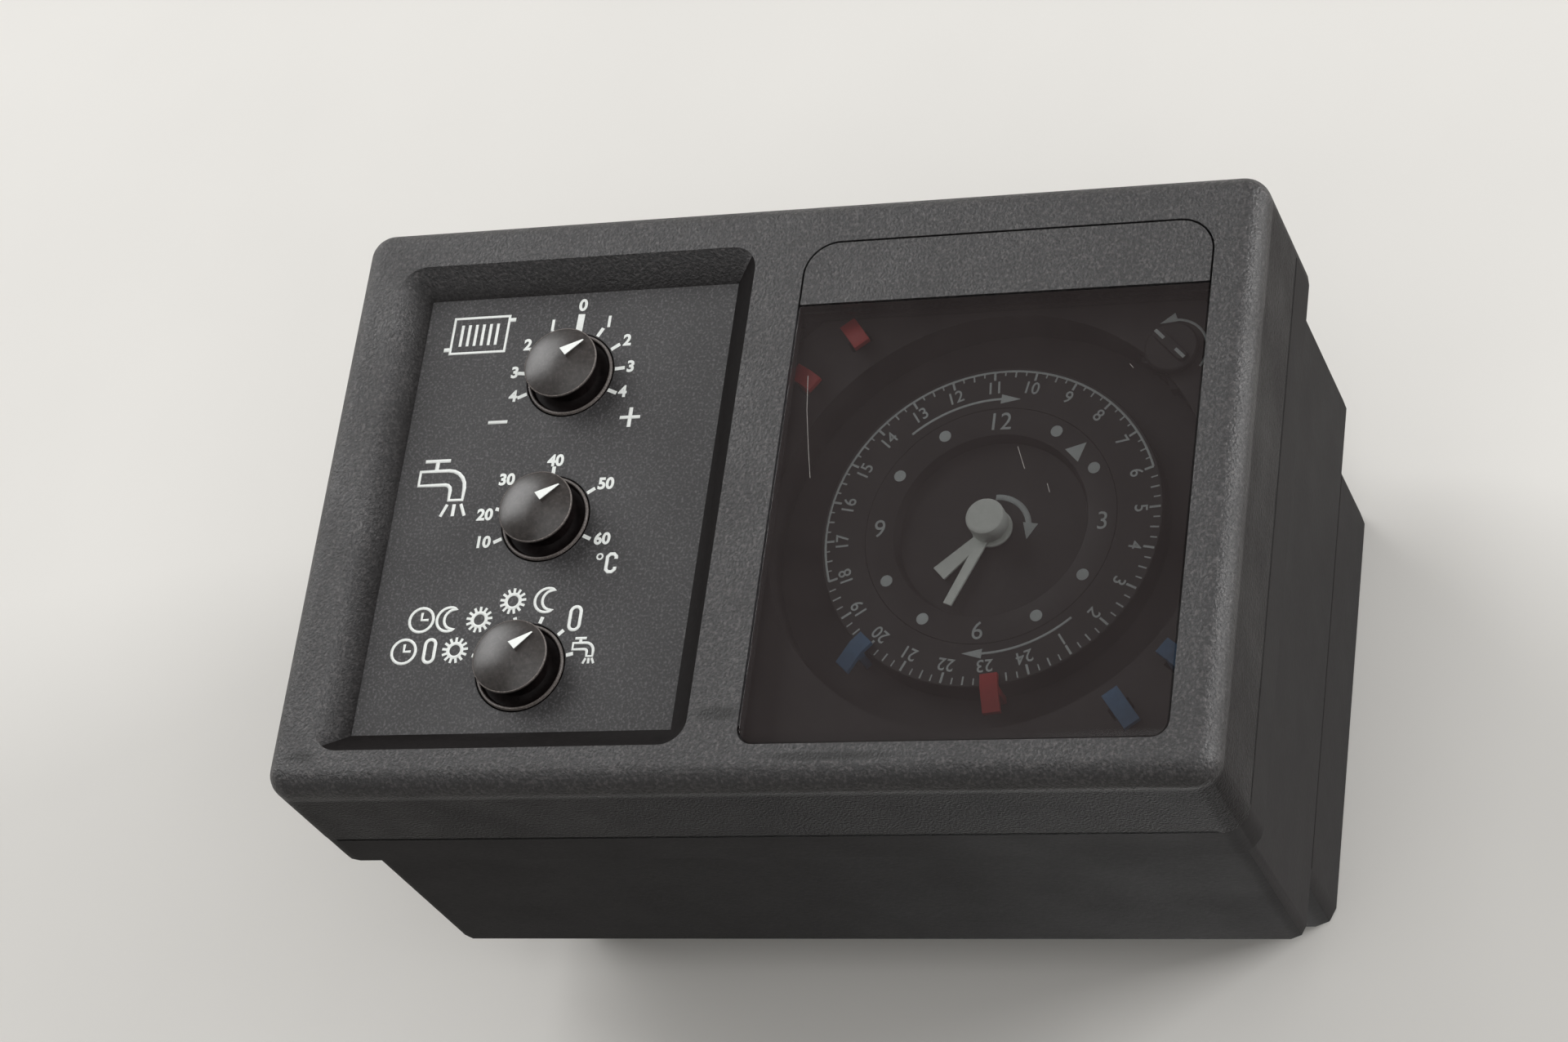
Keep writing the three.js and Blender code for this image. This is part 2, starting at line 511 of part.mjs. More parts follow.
/** Flat clock hand: boss and blade, pointing at an angle clockwise from the top. */
function hand({ angle, front, thick, hole, boss, start, tip, root, end }) {
  const blade = slab(outline([[-root / 2, start], [root / 2, start], [end / 2, tip],
    [-end / 2, tip]]), front, front + thick).translate([DIAL.x, DIAL.y, 0]);
  return cut(join(disc(boss, front, front + thick, DIAL.x, DIAL.y, 16),
    turn(blade, angle, DIAL.x, DIAL.y)), disc(hole, front - 1, front + 2, DIAL.x, DIAL.y, 12));
}

/** Setting knob over the hands. */
function settingKnob() {
  return cut(turned([[0, 7.05], [2.7, 7.05], [2.85, 6.8], [2.85, 4.3], [2.65, 4.1], [0, 4.1]],
    DIAL.x, DIAL.y, 16), disc(1.1, 5.5, 8, DIAL.x, DIAL.y, 10));
}

/** Override knob: low disc with a finger bar, and its spindle. */
function overrideKnob() {
  const { x, y, radius } = OVERRIDE;
  const bar = turn(block(6.8, 1.6, 3.0, 4.2, x, y), 45, x, y);
  return join(turned([[0, 4.8], [radius, 4.8], [radius, 4.0], [radius - 0.3, 3.8], [0, 3.8]],
    x, y, 16), bar, disc(1.4, 4.5, 15, x, y, 8));
}

/** Star wheel that the riders step round, with the cam for the contacts on its sleeve. */
function starWheel() {
  const { x, y } = OVERRIDE;
  const points = [];
  for (let i = 0; i < 8; i += 1) {
    const r = i % 2 ? 2.6 : 5.2;
    for (const lean of [-9, 9]) {
      const angle = rad(45 * i + lean * (i % 2 ? 1.2 : 0.6));
      points.push([r * Math.cos(angle), r * Math.sin(angle)]);
    }
  }
  const star = slab(outline(points), 7.2, 9.2).translate([x, y, 0]);
  const cam = turn(block(4.2, 2.8, 14, 16.4, x, y), 45, x, y);
  return cut(join(star, disc(2.3, 7.2, 16.4, x, y, 12), cam), disc(1.7, 6, 15.3, x, y, 10));
}

// ---- clock train -----------------------------------------------------------------------
const spread = (angle, radius) => [DIAL.x + radius * Math.cos(rad(angle)),
  DIAL.y + radius * Math.sin(rad(angle))];
const meshRadius = (a, b, module = MODULE) => module * (a + b) / 2;
const IDLER_ANGLE = 150;
const MOTION_ANGLE = -60;
const MOTOR_ANGLE = 135;
const IDLER = spread(IDLER_ANGLE, meshRadius(TRAIN.day, TRAIN.dayPinion));
const MOTION = spread(MOTION_ANGLE, meshRadius(TRAIN.cannon, TRAIN.motion));
const MOTOR = spread(MOTOR_ANGLE, meshRadius(TRAIN.centre, TRAIN.pinion, MOTOR_MODULE));
const at = ([x, y], angle, more = {}) => ({ x, y, towards: rad(angle), ...more });
const CENTRE = [DIAL.x, DIAL.y];

/** Minute arbor with the centre wheel and the cannon pinion. */
function minuteArbor() {
  return join(disc(0.8, 5.8, 31.2, ...CENTRE, 10),
    gear(TRAIN.cannon, 24.6, 26.3, at(CENTRE, MOTION_ANGLE)),
    disc(1.6, 26, 29, ...CENTRE, 10),
    gear(TRAIN.centre, 27.0, 28.2, at(CENTRE, MOTOR_ANGLE, { module: MOTOR_MODULE })));
}

/** Motion wheel and pinion on a stub arbor in the bridge. */
function motionWheel() {
  return join(gear(TRAIN.motion, 24.9, 26.0, at(MOTION, MOTION_ANGLE + 180, { gap: true })),
    gear(TRAIN.motionPinion, 22.2, 25, at(MOTION, MOTION_ANGLE + 180)),
    disc(0.6, 19.4, 26.5, ...MOTION, 8));
}

/** Hour wheel, its pipe round the minute arbor, and the pinion that drives the day train. */
function hourWheel() {
  const body = join(disc(1.6, 7.95, 24.1, ...CENTRE, 12),
    gear(TRAIN.hour, 22.6, 23.8, at(CENTRE, MOTION_ANGLE, { gap: true })),
    gear(TRAIN.hourPinion, 20.4, 21.8, at(CENTRE, IDLER_ANGLE, { module: IDLER_MODULE })));
  return cut(body, disc(1.1, 7, 25, ...CENTRE, 12));
}

/** Idler between the hour pipe and the day wheel. */
function dayIdler() {
  const driven = { gap: true, module: IDLER_MODULE };
  return join(gear(TRAIN.dayIdler, 20.4, 21.8, at(IDLER, IDLER_ANGLE + 180, driven)),
    gear(TRAIN.dayPinion, 17.2, 18.9, at(IDLER, IDLER_ANGLE + 180)),
    disc(1.5, 18.5, 21, ...IDLER, 10), disc(0.6, 13.2, 22.2, ...IDLER, 8));
}

/** Day wheel, fixed on the pipe of the day dial. */
const dayWheel = () => gear(TRAIN.day, 17.4, 18.7,
  at(CENTRE, IDLER_ANGLE, { gap: true, bore: 4.1 }));

/** Motor pinion on its shaft. */
function motorPinion() {
  const driving = { gap: true, module: MOTOR_MODULE };
  return join(gear(TRAIN.pinion, 26.8, 28.4, at(MOTOR, MOTOR_ANGLE + 180, driving)),
    disc(0.75, 26.4, 36, ...MOTOR, 8));
}

/** Bridge that holds the fixed pipe and the idler, on two pillars. */
function timerBridge() {
  const strap = roundedBlock(56, 22, 4, 19.2, 20.0, DIAL.x, DIAL.y);
  const pillars = [-24, 24].map((x) => disc(2.4, 13.1, 19.6, DIAL.x + x, DIAL.y, 8));
  return cut(join(strap, ...pillars), disc(2.9, 19, 21, ...CENTRE, 12),
    disc(1.9, 19, 21, ...IDLER, 12), disc(0.9, 19, 21, ...MOTION, 8));
}

/** Case behind the dial, open to the front. */
function timerCase() {
  const shell = cut(roundedBlock(60, 60, 3, 13.1, 33.1, DIAL.x, DIAL.y),
    roundedBlock(56.8, 56.8, 1.6, 12, 31.5, DIAL.x, DIAL.y));
  return cut(join(shell, disc(2.4, 29.5, 32, ...CENTRE, 10)),
    disc(1.1, 29, 31.4, ...CENTRE, 10), disc(1.2, 30, 34, ...MOTOR, 12));
}

/** Flat synchronous motor with two fixing ears. */
function timerMotor() {
  const ears = [-1, 1].map((side) => roundedBlock(7, 9, 2, 33.4, 34.6,
    MOTOR[0], MOTOR[1] + side * 18));
  return cut(join(turned([[0, 45], [15, 45], [17, 43.6], [17, 33.4], [0, 33.4]], ...MOTOR, 20),
    ...ears), disc(1.1, 32, 36.4, ...MOTOR, 10));
}

/** Changeover contacts in their moulded box, beside the cam. */
function contactSwitch() {
  return join(block(9.5, 6.4, 15, 25, 50.5, 12.6), block(0.5, 4, 18, 20, 55.3, 14),
    ...[-3, 0, 3].map((x) => block(0.8, 0.5, 24.5, 28, 50.5 + x, 12.6)));
}

// ---- electronics -----------------------------------------------------------------------
const BOARD_FRONT = 17.0;
const POWER_FRONT = 57.5;

/** Board that carries the three controls, with its header. */
function frontBoard() {
  const sheet = block(62, 74, BOARD_FRONT, BOARD_FRONT + 1.6, KNOB_X, 0);
  const chips = [[-14, 27, 20, 7], [12, 12, 18, 7], [-13, -10, 10, 8]].map(([x, y, w, h]) =>
    block(w, h, BOARD_FRONT + 1, BOARD_FRONT + 5, KNOB_X + x, PANEL.y + y));
  return cut(join(sheet, ...chips),
    ...BOARD_PINS.map(([x, y]) => disc(1.25, 15, 20, x, y, 8)));
}

/** Mains board across the back of the housing. */
function powerBoard() {
  const sheet = block(121, 78, POWER_FRONT, POWER_FRONT + 1.6, 0, 0);
  const fuse = disc(3, 50, POWER_FRONT + 1, 30, 30, 10);
  return cut(join(sheet, fuse), ...POWER_PINS.map(([x, y]) => disc(1.4, 55, 61, x, y, 8)));
}

/** Mains transformer: laminated core with the wound bobbin through it. */
const transformer = () => join(block(44, 37, 34, 50, -36, 6),
  roundedBlock(30, 27, 4, 30, POWER_FRONT - GAP, -36, 6));

/** Sealed relay with a chamfered lid. */
const relay = (x, y) => join(block(29, 12.6, 44, POWER_FRONT - GAP, x, y),
  block(27.4, 11, 43.2, 45, x, y));

/** Smoothing capacitor with its rolled rim. */
const capacitor = () => turned([[0, POWER_FRONT - GAP], [6.5, POWER_FRONT - GAP], [6.5, 55.6],
  [6.1, 55], [6.5, 54.4], [6.5, 33.4], [6, 33], [0, 33]], 6, 34, 16);

/** Flat ribbon between the two boards, in a slack S. */
function ribbonCable() {
  const path = new THREE.CatmullRomCurve3([[-30, 19], [-30, 24], [-25, 32], [-27, 44], [-31, 52],
    [-31, POWER_FRONT - GAP]].map(([y, depth]) => new THREE.Vector3(y, up(depth), 0)));
  const centre = path.getPoints(12);
  const side = (sign) => centre.map((p, i) => {
    const along = path.getTangent(i / 12);
    return [p.x - sign * along.y * 0.4, p.y + sign * along.x * 0.4];
  });
  const shape = outline([...side(1), ...side(-1).reverse()]);
  const geometry = new THREE.ExtrudeGeometry(shape, { depth: 18, bevelEnabled: false });
  geometry.applyMatrix4(new THREE.Matrix4().set(0, 0, 1, -42, 1, 0, 0, 0, 0, 1, 0, 0, 0, 0, 0, 1));
  return solid(geometry);
}

/** Plug on the mains board that reaches through the back of the housing. */
function plug({ y }) {
  const body = block(PLUG.width, PLUG.height, POWER_FRONT + 1.9, 72, PLUG.x, y);
  const keys = [-20, 0, 20].map((x) => block(1.6, PLUG.height + 2, 68, 73, PLUG.x + x, y));
  return cut(body, ...keys);
}

/** Row of screw terminals in the rear base, with the socket that the plug enters. */
function terminalStrip({ y }) {
  const body = join(block(68, 9, 72.3, 81, PLUG.x, y - 3), block(68, 6, 69, 81, PLUG.x, y - 8));
  const screws = [];
  const mouths = [];
  for (let i = 0; i < 7; i += 1) {
    const x = PLUG.x + (i - 3) * 9;
    screws.push(disc(2.2, 60, 70, x, y - 8, 6));
    mouths.push(block(4.4, 4, 75, 79, x, y - 10));
  }
  return cut(body, ...screws, ...mouths);
}

// ---- assembly --------------------------------------------------------------------------
const controller = new THREE.Group();
controller.rotation.x = Math.PI / 2;

/** Adds one finished piece under its own name. */
function add(name, body, material) {
  const mesh = new THREE.Mesh(geometryOf(body), material);
  mesh.name = name;
  controller.add(mesh);
}

add('front_bezel', frontBezel(), CHARCOAL());
add('main_housing', mainHousing(), BLACK());
add('rear_terminal_base', rearBase(), BLACK());
add('control_panel_plate', controlPanel(), GREY_PRINT());
for (const spec of KNOBS) {
  add(`${spec.name}_knob`, knob(spec), BLACK());
  add(`${spec.name}_pointer`, pointerWedge(spec, 0, POINTER.thick), WHITE());
  add(`${spec.name}_spindle`, spindle(spec), STEEL());
}
add('curve_potentiometer', potentiometer(KNOBS[0]), NATURAL());
add('water_potentiometer', potentiometer(KNOBS[1]), NATURAL());
add('mode_switch', modeSwitch(KNOBS[2]), BLACK());

add('flap_window', flapWindow(), SMOKE());
add('flap_grip', flapGrip(), CHARCOAL());

add('timer_face', timerFace(), BLACK());
add('clock_face', clockFace(), BLACK());
add('day_dial', dayDial(), BLACK());
add('hour_hand', hand({ angle: 226, front: 8.05, thick: 0.4, hole: 1.9, boss: 3.0, start: 2.4,
  tip: 10.1, root: 1.7, end: 2.6 }), WHITE());
add('minute_hand', hand({ angle: 203, front: 7.35, thick: 0.4, hole: 1.1, boss: 2.4, start: 1.8,
  tip: 13.3, root: 1.7, end: 1.3 }), WHITE());
add('setting_knob', settingKnob(), WHITE());
add('rider_red_set', rider(173.5), RED());
add('rider_blue_set', rider(222.5), BLUE());
const spare = [PARK_RADIUS - 26.75, 3.3];
add('rider_red_spare_1', rider(PARKED[0], ...spare), RED());
add('rider_red_spare_2', rider(PARKED[1], ...spare), RED());
add('rider_blue_spare_1', rider(PARKED[2], ...spare), BLUE());
add('rider_blue_spare_2', rider(PARKED[3], ...spare), BLUE());
add('override_knob', overrideKnob(), BLACK());
add('star_wheel', starWheel(), NATURAL());

add('timer_case', timerCase(), BLACK());
add('timer_bridge', timerBridge(), BRASS());
add('minute_arbor', minuteArbor(), BRASS());
add('motion_wheel', motionWheel(), BRASS());
add('hour_wheel', hourWheel(), BRASS());
add('day_idler', dayIdler(), NATURAL());
add('day_wheel', dayWheel(), NATURAL());
add('motor_pinion', motorPinion(), STEEL());
add('timer_motor', timerMotor(), STEEL());
add('contact_switch', contactSwitch(), BLACK());

add('front_board', frontBoard(), BOARD());
add('power_board', powerBoard(), BOARD());
add('transformer', transformer(), STEEL());
add('burner_relay', relay(12, -25), BLUE());
add('pump_relay', relay(44, -25), BLUE());
add('capacitor', capacitor(), BLACK());
add('ribbon_cable', ribbonCable(), NATURAL());
for (const spec of PLUGS) {
  add(`${spec.name}_plug`, plug(spec), NATURAL());
  add(`${spec.name}_terminal_strip`, terminalStrip(spec), NATURAL());
}
POSTS.forEach((place, i) => add(`case_screw_${i + 1}`, caseScrew(place), STEEL()));
BASE_SCREWS.forEach((place, i) => add(`base_screw_${i + 1}`, baseScrew(place), STEEL()));

export default controller;
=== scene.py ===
"""Looks of a flush-mounted heating controller: bezel, printed panel, knobs, flap and day clock.

Laid out as an add-on and run as a script. Lengths in the tables below are millimetres, in the
front view: x to the right, y up, depth back from the front face of the bezel.
"""
import json
import math

import bmesh
import bpy
from bpy.props import FloatProperty, FloatVectorProperty, PointerProperty
from bpy.types import Operator, Panel, PropertyGroup
from mathutils import Matrix, Vector

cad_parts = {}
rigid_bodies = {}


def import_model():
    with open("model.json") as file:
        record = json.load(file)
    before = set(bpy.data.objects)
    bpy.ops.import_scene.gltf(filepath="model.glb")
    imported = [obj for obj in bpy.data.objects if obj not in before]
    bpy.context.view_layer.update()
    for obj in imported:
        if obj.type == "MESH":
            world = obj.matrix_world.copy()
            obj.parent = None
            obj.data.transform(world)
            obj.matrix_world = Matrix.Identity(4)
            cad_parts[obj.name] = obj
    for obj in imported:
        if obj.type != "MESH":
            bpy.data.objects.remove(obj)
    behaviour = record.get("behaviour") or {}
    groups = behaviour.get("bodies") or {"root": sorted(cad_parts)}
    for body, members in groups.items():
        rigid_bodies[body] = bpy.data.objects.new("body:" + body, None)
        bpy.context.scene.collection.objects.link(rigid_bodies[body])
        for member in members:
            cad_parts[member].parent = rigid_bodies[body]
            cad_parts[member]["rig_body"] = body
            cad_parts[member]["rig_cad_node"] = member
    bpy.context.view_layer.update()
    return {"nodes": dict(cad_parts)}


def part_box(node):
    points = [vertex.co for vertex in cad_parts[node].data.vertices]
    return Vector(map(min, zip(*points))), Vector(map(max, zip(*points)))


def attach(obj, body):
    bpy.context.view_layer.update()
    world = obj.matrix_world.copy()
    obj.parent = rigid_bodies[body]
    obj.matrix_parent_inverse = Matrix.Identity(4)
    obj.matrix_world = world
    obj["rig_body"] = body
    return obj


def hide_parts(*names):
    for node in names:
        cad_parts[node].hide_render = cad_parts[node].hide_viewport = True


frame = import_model()

bl_info = {
    "name": "Heating controller finish",
    "version": (1, 0, 0),
    "blender": (4, 5, 0),
    "location": "3D View > Sidebar > Controller",
    "description": "Builds the visible mouldings, print and clock of a heating controller",
    "category": "Object",
}

MM = 0.001
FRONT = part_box("front_bezel")[0].y
SMOOTH = math.radians(32)      # edges sharper than this stay crisp
SHARP = math.radians(40)       # and edges sharper than this are rounded


def measured(node):
    """Centre x, centre y, width, height, front depth and back depth of a CAD node, in mm."""
    low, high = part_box(node)
    centre, span = (low + high) / 2 / MM, (high - low) / MM
    return centre.x, centre.z, span.x, span.z, (low.y - FRONT) / MM, (high.y - FRONT) / MM


# ---- layout, in millimetres ---------------------------------------------------------------
BEZEL = measured("front_bezel")
SEAM = BEZEL[5]                # depth where the bezel meets the housing
WALL = 2.5                     # sides of the bezel
SKIN = 2.6                     # front of the bezel
LAP = 0.5                      # how far joined solids reach into each other
WINDOW = {"x": 33.67, "y": -0.75, "width": 62.9, "height": 81.3, "corner": 5.5, "foot": 2.6,
          "depth": 2.3}
WINDOW_FOOT = WINDOW["y"] - WINDOW["height"] / 2
HINGE = {"y": -38.9, "depth": 1.0, "pin": 0.55, "reach": 2.4}
GAP = 0.3                      # air between neighbouring pieces
HAIR = 0.02                    # air under a piece that rests on another
PANE = 2.0                     # thickness of the flap
TOE = {"height": 1.2, "depth": 0.45}       # bevel along the flap's foot
STRIP_EDGE = 29.0              # level where the flap's window ends and its grip begins
HOOKS = (-15, 15)              # snap hooks of the flap, from the middle of the window
WELL_DEPTH = 4.8               # back of the flap's seat
PANEL = {"x": -35.07, "y": -0.6, "width": 50.9, "height": 73.2, "bevel": 4.05}
KNOBS = [("curve", 21.8, 49), ("water", -2.5, 50), ("mode", -26.8, 46)]   # level and angle
KNOB_X = -35.05
KNOB_HOLE = 7.08
DIAL = (33.66, -4.75)          # axis of the clock
DIAL_FACE = 7.0                # depths of the clock's printed faces
TIMER_FACE = 5.1
WELL_FLOOR = 8.8
HAND_THICK = 0.4
OVERRIDE = (58.9, 21.1)
# riders and the angle each stands at, clockwise from the top
PARKED = [("rider_red_spare_1", -37.2), ("rider_red_spare_2", -52.0),
          ("rider_blue_spare_1", 142.8), ("rider_blue_spare_2", 127.3)]
RIDING = [("rider_red_set", 173.5), ("rider_blue_set", 222.5)]
PARKED_OUT = 11.75             # a parked rider stands this much further out than a set one,
PARKED_RISE = 3.3              # and this much further forward
INK = 0.05                     # height of a printed layer
FIGURE_SHARE = 0.73            # height of a figure as a share of the size of its type
WELD = 0.06 * MM               # edges shorter than this would hold every bevel back
HOME_HOUR = 11                 # hour of the day dial that stands nearest the top
HOME_ANGLE = -4.4              # and where it stands, clockwise from the top


def at(x, y, depth):
    """Point in the frame, from millimetres in the front view."""
    return Vector((x * MM, FRONT + depth * MM, y * MM))


def polar(centre, radius, angle):
    """Point of the front view at an angle clockwise from the top."""
    turn = math.radians(angle)
    return centre[0] + radius * math.sin(turn), centre[1] + radius * math.cos(turn)


def linear(hex_colour):
    """Linear RGB from an sRGB hex value such as '3c3c3e'."""
    parts = [int(hex_colour[i:i + 2], 16) / 255 for i in (0, 2, 4)]
    return tuple(c / 12.92 if c <= 0.04045 else ((c + 0.055) / 1.055) ** 2.4 for c in parts)


# ---- settings -----------------------------------------------------------------------------
def colour_setting(name, description, value):
    """Colour, from an sRGB hex value."""
    return FloatVectorProperty(name=name, description=description, subtype="COLOR", size=3,
                               min=0, max=1, default=linear(value))


def length_setting(name, description, millimetres):
    """Length, kept in metres."""
    return FloatProperty(name=name, description=description, default=millimetres * MM,
                         unit="LENGTH", subtype="DISTANCE")


def angle_setting(name, description, degrees):
    """Angle, kept in radians."""
    return FloatProperty(name=name, description=description, default=math.radians(degrees),
                         unit="ROTATION", subtype="ANGLE")


def power_setting(name, description, watts):
    """Radiant power of a lamp."""
    return FloatProperty(name=name, description=description, default=watts, unit="POWER", min=0)


class MouldingSettings(PropertyGroup):
    """Sizes of the outer mouldings."""
    fillet: length_setting("Front fillet", "Round along the front edges", 3.5)
    corner: length_setting("Corner", "Corner radius in front view", 4.0)
    edge: length_setting("Small edges", "Round on the edges of small mouldings", 0.25)
    grain: length_setting("Texture grain", "Grain width of the eroded texture", 0.42)


class ColourSettings(PropertyGroup):
    """Colours of the finishes."""
    # charcoal is painted on the front of the textured finish and the body tone on its sides:
    # painted light and painted shade
    charcoal: colour_setting("Charcoal", "Textured ABS of the bezel and the flap's grip", "2b2a2b")
    body: colour_setting("Body", "Satin ABS of the housing", "1d1b1b")
    plate: colour_setting("Plate", "Screen-printed panel", "2e2d2e")
    knob: colour_setting("Knob", "Polished knobs", "141010")
    dial: colour_setting("Dial", "Matt plastic of the clock parts", "2c2828")
    ink: colour_setting("Ink", "Printing on the panel", "e6e9e6")
    dial_ink: colour_setting("Dial ink", "Printing on the clock", "c3cccb")
    hands: colour_setting("Hands", "Painted hands and hub", "eef4ee")
    red: colour_setting("Red", "Red riders", "b4322f")
    blue: colour_setting("Blue", "Blue riders", "4b7296")
    smoke: colour_setting("Smoke", "Tint of the clear flap", "352e2e")


class StageSettings(PropertyGroup):
    """Light and camera."""
    key: power_setting("Key", "Power of the soft lamp up on the left", 11.0)
    side: power_setting("Side", "Power of the soft lamp on the right", 17.0)
    fill: power_setting("Fill", "Power of the wide lamp in front", 8.0)
    world: FloatProperty(name="World", description="Strength of the surrounding light",
                         default=0.32, min=0)
    azimuth: angle_setting("Azimuth", "Turn of the camera round to the right", 23.248)
    elevation: angle_setting("Elevation", "Rise of the camera; it looks up from below", -25.334)
    distance: length_setting("Distance", "Camera to the front face", 572.6)
    roll: angle_setting("Camera roll", "Turn of the camera about its view", 8.162)
    lens: FloatProperty(name="Lens", description="Focal length for a 36 mm wide picture",
                        default=91.43)


# ---- modelling helpers --------------------------------------------------------------------
def deselect():
    """Object mode with nothing selected."""
    if bpy.context.object and bpy.context.object.mode != "OBJECT":
        bpy.ops.object.mode_set(mode="OBJECT")
    bpy.ops.object.select_all(action="DESELECT")


def only(*objects):
    """Selects just these objects, the first one active."""
    deselect()
    for item in objects:
        item.select_set(True)
    bpy.context.view_layer.objects.active = objects[0]


def called(item, name):
    """Names the object and its mesh."""
    item.name = item.data.name = name
    return item


def settle(item, name=None):
    """Puts the object's place into its mesh, and names it."""
    only(item)
    bpy.ops.object.transform_apply(location=True, rotation=True, scale=True)
    return called(item, name) if name else item


def block(name, x, y, width, height, front, back):
    """Rectangular blank between two depths."""
    deselect()
    bpy.ops.mesh.primitive_cube_add(
        size=1, location=at(x, y, (front + back) / 2),
        scale=(width * MM, (back - front) * MM, height * MM))
    return settle(bpy.context.object, name)


def pick(item, kind, test):
    """Enters edit mode with only the faces, edges or vertices that pass the test selected.

    The test gets an element's middle in front-view millimetres (x, y, depth), and its normal or
    for an edge its direction. True if any passed.
    """
    only(item)
    bpy.ops.object.mode_set(mode="EDIT")
    bpy.ops.mesh.select_mode(type={"faces": "FACE", "edges": "EDGE", "verts": "VERT"}[kind])
    bpy.ops.mesh.select_all(action="DESELECT")
    mesh = bmesh.from_edit_mesh(item.data)
    chosen = []
    for part in getattr(mesh, kind):
        if kind == "verts":
            middle, along = part.co, part.normal
        elif kind == "edges":
            ends = [v.co for v in part.verts]
            middle, along = (ends[0] + ends[1]) / 2, (ends[1] - ends[0]).normalized()
        else:
            middle, along = part.calc_center_median(), part.normal
        place = Vector((middle.x / MM, middle.z / MM, (middle.y - FRONT) / MM))
        if test(place, along):
            chosen.append(part)
    for part in chosen:
        part.select_set(True)
    mesh.select_flush_mode()
    bmesh.update_edit_mesh(item.data)
    return bool(chosen)


def round_edges(item, radius, segments, test):
    """Bevels the edges that pass the test."""
    if pick(item, "edges", test):
        bpy.ops.mesh.bevel(offset=radius * MM, segments=segments, affect="EDGES",
                           clamp_overlap=False)
    deselect()


def rounded_block(name, x, y, width, height, corner, front, back, segments):
    """Blank with rounded corners in front view."""
    made = block(name, x, y, width, height, front, back)
    round_edges(made, corner, segments, lambda place, along: abs(along.y) > 0.99)
    return made


def finish_modifier(item, kind, **settings):
    """Adds a modifier and applies it."""
    only(item)
    made = item.modifiers.new(kind.title(), kind)
    for key, value in settings.items():
        setattr(made, key, value)
    bpy.ops.object.modifier_apply(modifier=made.name)


def combine(item, operation, *tools):
    """Joins solids to the item or cuts them out of it, and removes them."""
    for tool in tools:
        finish_modifier(item, "BOOLEAN", operation=operation, solver="EXACT", object=tool)
        bpy.data.objects.remove(tool)
    return item


def turned(name, profile, x, y, steps=96, closed=False, crown=None):
    """Body of revolution about the depth axis.

    Profile holds (radius, depth) from ring to ring, and a closed one gives a ring. Otherwise
    both ends are flat, or the first is drawn to a point at the crown's depth.
    """
    deselect()
    radius, depth = profile[0]
    bpy.ops.mesh.primitive_circle_add(vertices=steps, radius=radius * MM, fill_type="NOTHING",
                                      location=at(x, y, depth), rotation=(math.pi / 2, 0, 0))
    made = settle(bpy.context.object, name)
    bpy.ops.object.mode_set(mode="EDIT")
    bpy.ops.mesh.select_mode(type="EDGE")
    bpy.ops.mesh.select_all(action="SELECT")
    for next_radius, next_depth in profile[1:]:
        bpy.ops.mesh.extrude_region_move(
            TRANSFORM_OT_translate={"value": (0, (next_depth - depth) * MM, 0)})
        bpy.ops.transform.resize(value=(next_radius / radius,) * 3,
                                 center_override=at(x, y, next_depth))
        radius, depth = next_radius, next_depth
    if closed:
        bpy.ops.mesh.select_all(action="DESELECT")
        bpy.ops.mesh.select_non_manifold(extend=False)
        bpy.ops.mesh.bridge_edge_loops()
    else:
        cap(made, profile[-1][1])
        cap(made, profile[0][1], crown)
    bpy.ops.mesh.select_all(action="SELECT")
    bpy.ops.mesh.remove_doubles(threshold=1e-7)
    bpy.ops.mesh.normals_make_consistent(inside=False)
    deselect()
    return made


def cap(item, depth, point_depth=None):
    """Closes the open end at a depth, flat or drawn to a point on the axis."""
    bpy.ops.mesh.select_all(action="DESELECT")
    mesh = bmesh.from_edit_mesh(item.data)
    for edge in mesh.edges:
        on_ring = all(abs((v.co.y - FRONT) / MM - depth) < 1e-3 for v in edge.verts)
        edge.select_set(edge.is_boundary and on_ring)
    bmesh.update_edit_mesh(item.data)
    if point_depth is None:
        bpy.ops.mesh.edge_face_add()
        return
    bpy.ops.mesh.extrude_region_move(
        TRANSFORM_OT_translate={"value": (0, (point_depth - depth) * MM, 0)})
    bpy.ops.mesh.merge(type="CENTER")


def smooth(item):
    """Smooth shading with crisp edges."""
    only(item)
    bpy.ops.object.shade_smooth_by_angle(angle=SMOOTH)
    return item


def soften(item, width, segments=2):
    """Rounds every sharp edge of a finished solid, once its tiniest edges are closed up."""
    only(item)
    bpy.ops.object.mode_set(mode="EDIT")
    bpy.ops.mesh.select_all(action="SELECT")
    bpy.ops.mesh.remove_doubles(threshold=WELD)
    bpy.ops.mesh.dissolve_degenerate(threshold=WELD / 3)
    deselect()
    finish_modifier(item, "BEVEL", width=width, segments=segments, limit_method="ANGLE",
                    angle_limit=SHARP, miter_outer="MITER_ARC", loop_slide=False)
    smooth(item)
    finish_modifier(item, "WEIGHTED_NORMAL", keep_sharp=True, weight=80)
    return item


def joined(name, parts):
    """One mesh from several."""
    only(*parts)
    if len(parts) > 1:
        bpy.ops.object.join()
    return called(bpy.context.object, name)


def copied(item):
    """Copy with its own mesh."""
    made = item.copy()
    made.data = item.data.copy()
    bpy.context.collection.objects.link(made)
    return made


def swung(item, angle, centre):
    """Turns a piece clockwise in front view about a centre."""
    pivot = Matrix.Translation(at(*centre, 0))
    item.data.transform(pivot @ Matrix.Rotation(math.radians(angle), 4, "Y") @ pivot.inverted())
    return item


def dress(item, look, body, replaces=()):
    """Gives a piece its finish, and ties it to the body it moves with."""
    item.data.materials.clear()
    item.data.materials.append(look)
    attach(item, body)
    if replaces:
        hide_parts(*replaces)
    return item


